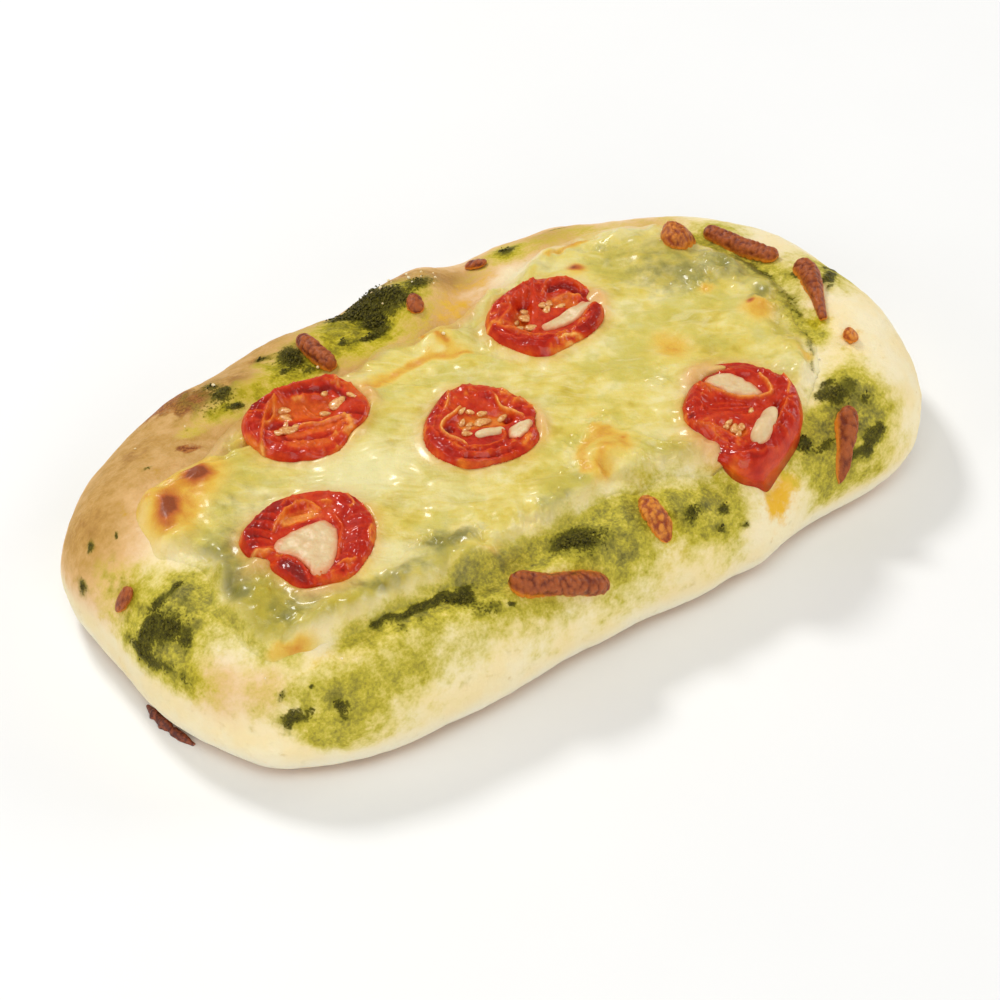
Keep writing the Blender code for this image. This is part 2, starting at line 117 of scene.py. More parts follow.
STAINED = (
    (-83, -14, 7, 8, 0, 1), (-77, -12, 5, 5, 0, 0.9), (-88, -14, 4, 9, 0, 0.8), (-87, -25, 2, 4, 0, 0.5),
    (-43, 28.5, 5, 3, -20, 0.55), (-34, 28, 4, 3, 0, 0.4), (-27, 31, 4.5, 5, 0, 0.9), (-9, 34, 8, 7, 0, 1),
    (-16, 31, 3, 3, 0, 0.6), (2, 36, 6, 6, 0, 0.75), (32, 38.5, 4, 3, 0, 0.7), (72, 17, 5, 4, 0, 0.6),
    (71, 5, 3, 7, 0, 0.7), (70.5, -5, 2, 5, 0, 0.6), (79, -9, 6, 6, 20, 0.7), (84, -3, 6, 4, -30, 0.5),
    (66, -18, 3, 5, 0, 0.5), (64, -24, 3, 3, 0, 0.35), (57, -42, 9, 5, 0, 1.1), (63, -38, 4, 5, 0, 0.9),
    (46, -43, 5, 3, 0, 0.9), (41, -45, 3, 1.6, 0, 0.3), (17.5, -46, 7, 3.6, 0, 1.1),
    (22, -45.4, 4, 2.2, 0, 0.6), (22, -50, 3, 1.6, 0, 0.4), (16, -37, 9, 3, -12, 0.35),
    (-3, -46, 8, 4.5, 0, 0.9), (-8, -42, 6, 4, 0, 0.8), (3, -42, 4, 4, 0, 0.5), (-33, -43, 7, 4, -10, 0.7),
    (-22, -48, 8, 2.5, 0, 0.6), (-47, -43, 9, 4, 0, 0.4), (-60, -45, 9, 4, -10, 0.45),
    (-70, -43, 7, 3, -25, 0.45), (-45, -39.5, 9, 2, 0, 0.8), (-40, -47, 8, 3, 0, 0.35),
    (-85, 0, 5, 8, 0, 0.35), (-76, -30, 6, 6, 0, 0.2), (-80, -38, 5, 4, 0, 0.25),
    (-70, -46, 8, 2.5, -10, 0.4), (-55, -49, 9, 2, 0, 0.3), (30, -43, 5, 3, -30, 0.35),
    (50, 33, 8, 4, -20, 0.4), (30, 37, 10, 3, 0, 0.4), (66, 26, 5, 4, -40, 0.4),
    (-72, -46, 7, 3, -20, 0.4), (-62, -46.5, 8, 2.4, 0, 0.3), (-50, -48, 8, 2, 0, 0.2),
    (50, -47, 6, 3, 0, 0.7), (60, -45, 6, 3, 0, 0.5), (17, -49, 5, 2, 0, 0.5), (-5, -40, 14, 3, -2, 0.75),
    (-26, -39, 12, 2.4, 0, 0.6), (12, -43, 4, 2, -20, 0.5),
)
HERBS = (
    (-86, -11, 2.6, 2.2, 0, 1), (-84, -14.5, 2.4, 2, -30, 1), (-83, -8.3, 1.8, 1, -20, 0.9),
    (-78.6, -8.8, 2, 0.7, 0, 1), (-83, -19, 1.1, 2, 0, 0.9), (-88.6, -12, 1, 3.5, 0, 0.8),
    (-80, -15, 3, 4, 0, 0.2), (-76, -42.6, 3, 0.7, -28, 1), (-67.3, -46, 2, 0.8, -30, 1),
    (-71.2, -42.3, 0.5, 0.4, 0, 0.9), (-76, -39.6, 0.8, 0.6, 0, 0.6), (-36, -41, 2.6, 2.6, 0, 1),
    (-43, -39.2, 9, 0.9, -3, 0.85), (-50, -41.5, 1, 1.5, 0, 0.5), (-46, -41.8, 0.8, 1, 0, 0.5),
    (-28.3, -46.3, 1.3, 0.6, 0, 1), (-33, -45, 3, 1.5, 0, 0.5), (-10, -40, 4, 1.8, 0, 1),
    (-8, -42, 4, 2.5, 0, 0.6), (14.8, -46.2, 2.4, 1.8, 0, 0.75), (22, -47, 1.4, 0.7, 0, 1),
    (19.5, -49.7, 2, 0.5, 0, 0.8), (25, -50.3, 1.5, 0.5, 0, 0.7), (45.5, -42.6, 2.2, 1.8, 0, 1),
    (50, -44.3, 3, 0.8, 0, 0.7), (54.5, -36.6, 1.8, 1, 0, 1), (57.8, -37.5, 2.4, 1.6, 0, 0.9),
    (57.5, -35, 2, 0.7, 0, 0.8), (63.3, -40.8, 1.5, 1.3, 0, 0.7), (62, -37, 1.5, 2, 0, 0.5),
    (57.5, -46.9, 5, 0.5, 5, 0.9), (62.5, -45.4, 3, 0.5, 5, 0.7), (70.6, 8, 1.3, 2.4, 0, 1),
    (69, -1, 1.2, 4, 10, 0.7), (72, -7, 0.8, 2, 0, 0.8), (78.5, -10.5, 2.4, 0.9, 35, 0.9),
    (76, -14, 2, 0.6, 35, 0.6), (85, -5, 4, 0.7, 35, 0.5), (-4.5, 41, 6, 2.6, -10, 1),
    (1, 38, 2.6, 3.4, 0, 1), (-4, 34.5, 2.4, 3.4, -20, 1), (-8, 30.2, 4.5, 0.9, 10, 0.9),
    (2, 33.5, 2.6, 2.6, 0, 0.6), (8, 36, 3.6, 2.6, 20, 0.7), (0, 44, 5, 2, 0, 0.9),
    (-14, 31, 1, 1, 0, 0.9), (-16.5, 34.5, 0.5, 0.7, 0, 0.7), (-24.3, 34, 2.2, 3.2, -10, 1),
    (-28.3, 30.6, 1.5, 0.6, 20, 0.9), (-24, 28.5, 2, 1, 0, 0.5), (-29, 38.4, 1.6, 1, 0, 0.7),
    (-42.5, 31.4, 2, 1.5, 0, 1), (-41.8, 27.2, 1.8, 0.8, -20, 1), (-43, 35, 1.5, 1.5, 0, 0.5),
    (-84, 14, 0.9, 1.1, -45, 0.9), (-88.4, 10.5, 0.8, 1.6, 0, 0.9), (-80, 10.6, 0.5, 0.3, 0, 0.8),
    (-66.3, 20.5, 1, 0.4, 0, 0.7), (32, 38.8, 2.4, 1.8, 0, 0.9), (46, 39, 3, 0.4, 0, 0.5),
    (-4, 38, 8, 6, 0, 0.42), (-26, 33, 4.5, 5, 0, 0.4), (-44, 30, 6, 4, 0, 0.35),
    (-85, -13, 5, 5, 0, 0.25), (-7, -43, 7, 3, 0, 0.3), (57, -41, 5, 4, 0, 0.25), (-47, 36, 6, 4, 0, 0.3),
    (79, -9, 4, 3, 30, 0.25), (-85, 2, 3, 6, 0, 0.2),
)
OILY = (
    (34, -50, 4, 3.4, 0, 1.2), (39, -47, 3, 2, 0, 0.8), (-66, -39, 8, 1.2, -5, 0.4),
    (9, 26, 8, 4, 20, 0.5), (20, 33, 8, 4, 10, 0.35), (62, 24, 4, 3, 0, 0.5), (24, -42.5, 3, 2, -45, 0.4),
    (67, -20, 1.6, 2, 0, 0.7), (8, -43.5, 3.8, 6.5, 0, 0.95), (-16, -45.6, 10, 3, -18, 0.4),
    (69.8, -27.4, 3, 2.6, 0, 0.5), (60, 17, 5.5, 5.5, 0, 0.8), (-85.6, -0.8, 3.4, 3.2, 0, 0.4),
    (35.5, -46, 3, 4, 0, 0.6), (-60.3, -48.3, 0.6, 0.6, 0, 1),
)

# Marks in the melted cheese, written the same way
UNDERLYING_GREEN = (
    (-73, -11.5, 4, 4, -60, 0.9), (-31.5, -30.5, 6, 2.6, -15, 0.9), (-12, -36.3, 5, 1.5, -10, 0.6),
    (55, 6, 8, 5.5, -35, 0.6), (62, -8, 3.5, 1.6, 20, 0.85), (65, 7, 4, 4, 0, 0.6),
    (58, -32, 6, 1.6, 45, 0.45), (-68, -29, 3, 3, 0, 0.5), (64, 1, 3, 4, 0, 0.5), (-68, -8, 5, 4, 0, 0.5),
    (-71, -17, 3, 5, 0, 0.8), (-63, -27, 6, 3.5, 0, 0.45), (-50, -33, 7, 2.4, -8, 0.55),
    (-58, 2, 6, 3, -20, 0.25), (-40, -33, 8, 2.4, 0, 0.4), (50, 12, 6, 6, 0, 0.35),
    (-8, -33, 5, 2, 0, 0.5), (60, 14, 5, 4, 0, 0.4), (45, 22, 4, 3, 0, 0.35), (-66, -5, 5, 2.5, 20, 0.35),
)
OLIVE = (
    (-68, -21, 9, 10, 0, 0.8), (-60, -34, 10, 2.4, -8, 0.5), (-72, -26, 4, 6, 0, 0.5),
    (-1, -31, 5, 3, 0, 0.5), (15, 28, 6, 3, 30, 0.5), (-20, -37, 8, 1.5, 0, 0.55),
    (10, -38, 14, 2, -10, 0.35), (-58, 14, 5, 5, 0, 0.2), (60, -17, 4, 4, 0, 0.6), (48, 14, 10, 8, 0, 0.3),
    (30, 27, 9, 3, 10, 0.4), (66, -6, 2, 8, 0, 0.4), (-45, 22, 8, 3, 20, 0.3), (-64, 6, 12, 8, 25, 0.55),
    (-50, 6, 8, 5, 0, 0.25), (-60, -32, 12, 3, -10, 0.4), (8, -36, 12, 3, -12, 0.45),
    (20, -36, 7, 3, -20, 0.4), (-30, -37, 14, 1.8, -5, 0.5), (-30, -24, 8, 5, 0, 0.2),
    (52, 20, 8, 6, 0, 0.35), (-15, 26, 8, 6, 0, 0.3), (32, -8, 8, 6, 0, 0.2), (-20, 8, 6, 8, 0, 0.2),
)
MILKY = (
    (-34, -5, 15, 8, -10, 1), (-42, -28, 7, 5, 0, 0.8), (18, -1, 14, 4, -5, 0.4),
    (25, -17, 10, 3, 0, 0.35), (-8, 3, 10, 5, 0, 0.4), (-22, -20, 9, 5, -20, 0.5), (-56, -2, 6, 4, 0, 0.7),
    (38, 8, 9, 5, 0, 0.2),
)
AMBER = (
    (-69, 7, 8.5, 5.6, 50, 1), (-61, 12, 6.6, 5, 0, 0.95), (-55.5, 17, 2, 3.5, 20, 0.55),
    (-73, 14, 3.5, 1.6, 30, 0.5), (-76, 12, 1.2, 1.5, 0, 0.7), (-77, 7, 1.5, 2, 0, 0.4),
    (-14, 15.6, 7, 1.4, 0, 0.6), (-4, 16.6, 5, 1.2, 15, 0.55), (1.5, 14.5, 3, 1.4, 0, 0.6),
    (4, 21, 2, 4, 0, 0.45), (9, 25, 6, 3, 20, 0.35), (37.5, 21, 2.6, 2.6, 0, 0.8),
    (42, 29.3, 6, 0.8, 0, 0.7), (38, -10, 4.4, 5, 0, 0.8), (58.3, -11.8, 3.6, 3.6, 30, 0.9),
    (55, 0, 2.4, 1.8, 0, 0.7), (58, -27, 1.6, 2, 30, 0.7), (10.5, -22.3, 3, 2.4, 0, 0.8),
    (12, -17, 1.6, 1, 0, 0.5), (7.4, -29.4, 5, 3.6, 25, 0.4), (3, -32, 4, 1.6, 30, 0.5),
    (11, -30, 3, 3, 0, 0.35), (-70, -35, 5, 1.8, -20, 0.9), (-26, -36, 3, 0.8, 0, 0.5),
    (-27.5, -28, 2.4, 2, 0, 0.35), (21, -42, 3, 1.5, -45, 0.4),
)
SCORCHED = (
    (-70, 7.3, 6.4, 3.2, 50, 1.2), (-60.5, 12, 4, 3, -10, 1.2), (-72, 12, 1.2, 1, 0, 0.5),
    (37.3, 21.5, 2.4, 1.6, -36, 1), (58.3, -9.6, 1.5, 1, 20, 0.9), (12.4, -27, 0.9, 0.9, 0, 0.6),
    (10.5, -23, 1.2, 0.7, 0, 0.5), (-75.5, 12, 0.6, 0.9, 0, 0.6), (-56, 16, 0.8, 2, 10, 0.4),
)
# Lines: points, half-width and strength
AMBER_LINES = (
    (((-19, 14.5), (-13, 15.2), (-8, 16), (-3, 15.6), (0, 13.4), (3.4, 12.4)), 1.1, 0.85),
    (((0, 25), (0.6, 21), (2.2, 16.5)), 1.4, 0.6), (((36, 29), (42, 29.6), (48, 29)), 0.8, 0.7),
    (((1.5, -30), (2.5, -26), (6, -23.8), (10.5, -23.8), (12.6, -26.4)), 1.5, 0.75),
    (((4, -32), (5.4, -28.6), (8.4, -27), (11, -28.4)), 1.7, 0.7),
    (((-59, 24), (-56, 22), (-53.4, 21.8)), 0.9, 0.6), (((2, 27), (8, 25.4), (14, 26.6)), 1.4, 0.4),
)
SCORCHED_LINES = (
    (((0, 24), (0.6, 20.6), (1.8, 17.4)), 1.3, 0.6), (((38, 29.2), (44, 29.6)), 0.5, 0.5),
    (((3.4, -25.6), (6.4, -24), (9.4, -23.8)), 0.4, 0.45),
    (((-59.4, 23.8), (-56.4, 22.2), (-53.4, 22)), 1, 1),
)
HERB_LINES = (
    (((-54, -37.6), (-48, -38.4), (-42, -38.6), (-36, -40.2)), 0.5, 0.8),
    (((57, -31), (60, -27), (63, -22)), 0.6, 0.5),
    (((66, -17), (67.4, -9), (68, 0), (67.4, 6)), 1.3, 0.45),
    (((-77, -43.4), (-75, -42.2), (-72.4, -44.4)), 0.5, 0.7),
    (((52, -47), (58, -47.4), (64, -45)), 0.6, 0.8), (((81, -6), (85, -4.4), (88, -2.6)), 0.8, 0.7),
    (((74, -12), (78, -11), (81, -8.6)), 0.8, 0.8),
    (((-88.6, -6), (-89, -12), (-88, -18), (-86.4, -24)), 0.7, 0.6),
)
STAIN_LINES = (
    (((-34, -38), (-22, -38), (-10, -39), (2, -40), (10, -41)), 3.4, 0.6),
    (((-60, -38), (-48, -39.6), (-34, -40), (-20, -39.6), (-8, -40), (4, -41.6), (12, -43.6)), 3, 0.75),
    (((63, -22), (65, -8), (67, 2), (68, 12), (64, 18)), 3.6, 0.8),
    (((-54, 27), (-44, 28), (-34, 28.4), (-24, 28.6), (-14, 29)), 2.6, 0.35),
    (((-76, -20), (-74, -30), (-70, -36)), 2.2, 0.5),
)
# x, y, half-widths, turn and height of what rises in the cheese
BLISTERS = (
    (-70, 7.5, 5, 2.6, 50, 0.9), (-60.5, 12, 3, 2.4, 0, 0.8), (37.4, 21.3, 2.2, 2, 0, 0.7),
    (58.3, -10.5, 3, 3, 0, 0.9), (55, 0.2, 2, 1.5, 0, 0.5), (58, -27, 1.4, 1.8, 30, 0.5),
    (10.5, -21.6, 2.6, 1.8, 0, 1), (7.2, -28, 5, 3.4, 25, 1.5), (38, -10, 3.6, 4.5, 0, -0.5),
    (-30, -31, 5, 2.4, -20, 0.5), (3, 20, 3, 4, 0, 0.6), (9, 25, 5, 2.4, 20, 0.6),
    (-55, -34, 9, 2.5, -5, 0.6), (-36, -36, 8, 2, -10, 0.6), (20, -36, 9, 3, -20, 0.5),
    (-73, 13, 5, 2.5, 35, 0.8),
)
# x, y, half-widths, turn and number of the small bubbles in the cheese
BUBBLY = (
    (-35, -28.5, 4, 2.5, -20, 60), (-27, -31, 3, 2, 0, 30), (55, 3, 5, 4, 0, 60), (62, 6, 4, 4, 0, 40),
    (3, -14, 3, 6, -45, 60), (2, -24, 6, 2.5, 35, 50), (-14, -33, 6, 2, 0, 60), (14, -35, 8, 2.5, -15, 60),
    (60, -26, 3, 6, 25, 70), (57, -33, 5, 2, 35, 40), (50, -30, 1.5, 6, 20, 30),
    (30, -17, 3, 2.5, -30, 16), (-20, -7, 1.5, 4, 0, 24), (-68, -30, 4, 3, 20, 30),
    (-66, -22, 4, 4, 0, 26), (12, -20, 4, 2.5, 0, 40), (63, -13, 3, 5, 0, 50), (24, -39, 4, 2, -40, 30),
    (-18, 12.5, 3, 1, -20, 12), (45, 25, 3, 2, 0, 20), (-75, -2, 3, 6, 0, 30), (-38, -38, 8, 1, 0, 30),
    (0, -38, 12, 1, 0, 40), (20, 24.5, 9, 1, 0, 16),
)
BUBBLE_RADII = (0.25, 0.7)
BUBBLE_RISE = 0.55
BUBBLE_SPREAD = 0.6


def hill(angle, direction, spread):
    """A bell over the angle, 1 in its own direction."""
    gap = (np.degrees(angle) - direction + 180) % 360 - 180
    return np.exp(-((gap / spread) ** 2))


def hills(angle, table):
    """A sum of bells, each with its direction, spread and height."""
    return sum(height * hill(angle, direction, spread) for direction, spread, height in table)


def peak(value, place, width):
    """A bell over a value, 1 at its place."""
    return np.exp(-(((value - place) / width) ** 2))


def turned(x, y, centre, turn):
    """Coordinates along and across a direction, from a centre."""
    cos, sin = np.cos(np.radians(turn)), np.sin(np.radians(turn))
    dx, dy = x - centre[0], y - centre[1]
    return dx * cos + dy * sin, dy * cos - dx * sin


def places_at(radius, angle, centre=(0, 0)):
    """Places at distances and angles from a centre."""
    return centre[0] + radius * np.cos(angle), centre[1] + radius * np.sin(angle)


def rows(x, y, z):
    """Points from their coordinates, of which some may be one number for all."""
    return np.stack(np.broadcast_arrays(x, y, z), axis=-1)


def bell(x, y, centre, half_widths, turn):
    """A bell over the plan, 1 at its centre."""
    along, across = turned(x, y, centre, turn)
    return np.exp(-((along / half_widths[0]) ** 2) - (across / half_widths[1]) ** 2)


def step(value, low, high):
    """0 at low and before, 1 at high and past it, eased between."""
    share = np.clip((value - low) / (high - low), 0, 1)
    return share * share * (3 - 2 * share)


def dome(share):
    """A quarter round, from 0 at the edge to 1."""
    return np.sqrt(1 - (1 - np.clip(share, 0, 1)) ** 2)


def joined(first, second):
    """Two marks from 0 to 1 joined softly."""
    return 1 - (1 - first) * (1 - second)


def around(angle, knots):
    """A smooth closed curve through (direction, value) knots."""
    where, value = np.array(knots, float).T
    where = np.concatenate([where[-2:] - 360, where, where[:2] + 360])
    value = np.concatenate([value[-2:], value, value[:2]])
    slope = np.gradient(value, where)
    degrees = np.degrees(angle) % 360
    i = np.clip(np.searchsorted(where, degrees) - 1, 0, len(where) - 2)
    span = where[i + 1] - where[i]
    t = (degrees - where[i]) / span
    start = (1 + 2 * t) * (1 - t) ** 2 * value[i] + t * (1 - t) ** 2 * span * slope[i]
    end = t * t * (3 - 2 * t) * value[i + 1] - t * t * (1 - t) * span * slope[i + 1]
    return start + end


# Factors that scatter a cell's numbers over 32 bits
CELL_FACTORS = (374761393, 668265263, 1274126177, 974634777)
MIX_STEPS = ((13, 1274126177), (16, 2246822519))
LAST_SHIFT = 15
ALL_BITS = 0xFFFFFFFF
KEPT_BITS = 0xFFFFFF
HALF_OF_KEPT = 0x7FFFFF


def random_cell(ix, iy, iz, seed):
    """A fixed random number from -1 to 1 for each cell of a lattice."""
    mixed = sum(part * factor for part, factor in zip((ix, iy, iz, seed), CELL_FACTORS)) & ALL_BITS
    for shift, factor in MIX_STEPS:
        mixed = ((mixed ^ (mixed >> shift)) * factor) & ALL_BITS
    return ((mixed ^ (mixed >> LAST_SHIFT)) & KEPT_BITS) / HALF_OF_KEPT - 1


def noise(seed, x, y, z=None):
    """A smooth random field from -1 to 1 over coordinates counted in cells."""
    z = np.zeros_like(x) if z is None else z
    cells, shares = [], []
    for value in (x, y, z):
        low = np.floor(value)
        part = value - low
        cells.append(low.astype(np.int64))
        shares.append(part * part * part * (part * (part * 6 - 15) + 10))
    total = np.zeros_like(x, float)
    for corner in range(8 if np.any(shares[2]) else 4):
        weight = 1.0
        places = []
        for axis in range(3):
            far = (corner >> axis) & 1
            weight = weight * (shares[axis] if far else 1 - shares[axis])
            places.append(cells[axis] + far)
        total = total + weight * random_cell(*places, seed)
    return total


def waves(places, *layers):
    """Smooth random relief: a sum of layers, each with its seed, cell size and height."""
    return sum(height * noise(seed, *(axis / size for axis in places)) for seed, size, height in layers)


def wandering(places, seed, size, reach):
    """Places in plan moved about a little, which makes the edges of marks uneven."""
    return [axis + waves(places, (seed + i, size, reach)) for i, axis in enumerate(places[:2])]


GRAIN_WANDER = 0.4
GRAIN_REACH = 0.7
NEAR_CELLS = (-1, 0, 1)


def grains(seed, x, y, z):
    """Rounded grains over coordinates counted in cells: 1 on top of a grain and 0 between grains."""
    home = [np.floor(value).astype(np.int64) for value in (x, y, z)]
    nearest = np.full(x.shape, np.inf)
    for offsets in itertools.product(NEAR_CELLS, repeat=3):
        cell = [start + offset for start, offset in zip(home, offsets)]
        shift = [0.5 + GRAIN_WANDER * random_cell(*cell, seed + axis) for axis in range(3)]
        gaps = [value - place - jog for value, place, jog in zip((x, y, z), cell, shift)]
        nearest = np.minimum(nearest, gaps[0] ** 2 + gaps[1] ** 2 + gaps[2] ** 2)
    return np.clip(1 - nearest / GRAIN_REACH, 0, 1)


def smooth_line(points, count, rounds):
    """Points close together on a smooth line between points, with their widths or other values."""
    points = np.array(points, float)
    line = np.stack([np.interp(np.linspace(0, 1, count), np.linspace(0, 1, len(points)), column)
                     for column in points.T], axis=1)
    for _ in range(rounds):
        line[1:-1] = (line[:-2] + 2 * line[1:-1] + line[2:]) / 4
    return line


def field(x, y, patches, spread=1.0):
    """Marks joined softly, from 0 to 1."""
    clear = np.ones_like(x)
    for px, py, half_x, half_y, turn, strength in patches:
        clear = clear * (1 - strength * bell(x, y, (px, py), (half_x * spread, half_y * spread), turn))
    return 1 - clear


LINE_POINTS = 25
LINE_ROUNDS = 4


def nearest_square(x, y, points):
    """Square of the distance to a smooth line."""
    if len(points) == 1:
        return (x - points[0][0]) ** 2 + (y - points[0][1]) ** 2
    line = smooth_line(points, LINE_POINTS, LINE_ROUNDS)
    nearest = np.full(x.shape, np.inf)
    for (ax, ay), (bx, by) in zip(line[:-1], line[1:]):
        run_x, run_y = bx - ax, by - ay
        t = np.clip(((x - ax) * run_x + (y - ay) * run_y) / (run_x**2 + run_y**2), 0, 1)
        nearest = np.minimum(nearest, (x - ax - t * run_x) ** 2 + (y - ay - t * run_y) ** 2)
    return nearest


# Half-width past which a mark on a tomato is flatter on top
BROAD = 0.9


def stroke(x, y, points, half_width):
    """1 on a smooth line, falling to 0 beside it; a broad one is flatter with steeper sides."""
    share = nearest_square(x, y, points) / half_width**2
    return np.exp(-(share**2 if half_width > BROAD else share))


def drawn_lines(x, y, lines):
    """Lines joined softly, from 0 to 1."""
    clear = np.ones_like(x)
    for points, half_width, strength in lines:
        clear = clear * (1 - strength * np.exp(-nearest_square(x, y, points) / half_width**2))
    return 1 - clear


def outline_radius(angle):
    """Radius of the loaf in plan: an oval, squarer in front, with bulges."""
    power = np.where(np.sin(angle) < 0, FRONT_POWER, BACK_POWER)
    along = np.abs(np.cos(angle) / HALF_LENGTH) ** power
    across = np.abs(np.sin(angle) / HALF_WIDTH) ** power
    return (along + across) ** (-1 / power) + hills(angle, BULGES)


def cheese_radius(angle):
    """Radius of the cheese bed in plan."""
    return outline_radius(angle) * around(angle, CHEESE_EDGE)


# Where the cheese stops short of its bed: direction, spread and amount
TRIM = (305.0, 5.0, -1.5)
# Scallops of its border: seed, cell size and height
SCALLOPS = ((3, 9, 1.5), (4, 4, 0.6))


def ragged_radius(angle):
    """Border of the cheese with its small scallops."""
    radius = cheese_radius(angle)
    return radius + hills(angle, (TRIM,)) + waves(places_at(radius, angle), *SCALLOPS)


SLOPE_STEP = 0.01


def lean(angle, radius_of):
    """Cosine of the angle between a ray from the middle and the outline's normal."""
    radius = radius_of(angle)
    slope = (radius_of(angle + SLOPE_STEP) - radius_of(angle - SLOPE_STEP)) / (2 * SLOPE_STEP)
    return radius / np.hypot(radius, slope)


def inset(x, y, radius_of=outline_radius):
    """Distance inside an outline, negative outside it."""
    angle = np.arctan2(y, x)
    return (radius_of(angle) - np.hypot(x, y)) * lean(angle, radius_of)


def plain_top(x, y):
    """The loaf's top with its rounded rim and the hollow under the cheese, without folds."""
    within = inset(x, y)
    swells = hills(np.arctan2(y, x), SWELLS) * (1 - step(within, *SWELLS_FADE))
    height = WIDEST_HEIGHT + (RIM_HEIGHT + swells - WIDEST_HEIGHT) * dome(within / SHOULDER)
    return height - HOLLOW * step(inset(x, y, cheese_radius), *HOLLOW_SLOPE)


def pinch(x, y):
    """The groove where the front rim folds under itself, with a lip on its left."""
    (start_x, start_y), (end_x, end_y) = PINCH_ENDS
    run_x, run_y = end_x - start_x, end_y - start_y
    length = np.hypot(run_x, run_y)
    along = ((x - start_x) * run_x + (y - start_y) * run_y) / length**2
    side = ((y - start_y) * run_x - (x - start_x) * run_y) / length
    relief = sum(amount * peak(side, place, width) for place, width, amount in PINCH_PROFILE)
    return relief * step(along, *PINCH_BEGINS) * step(along, *PINCH_STOPS)


def folds(x, y):
    """Crease round the cheese, puffed parts of the rim and the pinch."""
    crease = peak(inset(x, y, cheese_radius), -CREASE_OFFSET, CREASE_WIDTH)
    height = -around(np.arctan2(y, x), CREASE) * crease
    for centre, half_widths, turn, amount in PUFFS:
        height = height + amount * bell(x, y, centre, half_widths, turn)
    return height + pinch(x, y)


def bread_top(x, y):
    """The loaf's top with its folds."""
    return plain_top(x, y) + folds(x, y) * dome(inset(x, y) / SHOULDER)


def cheese_plane(x, y):
    """The level that the tomatoes lie at."""
    return plain_top(x, y) + CHEESE_LIFT + CHEESE_THICKNESS
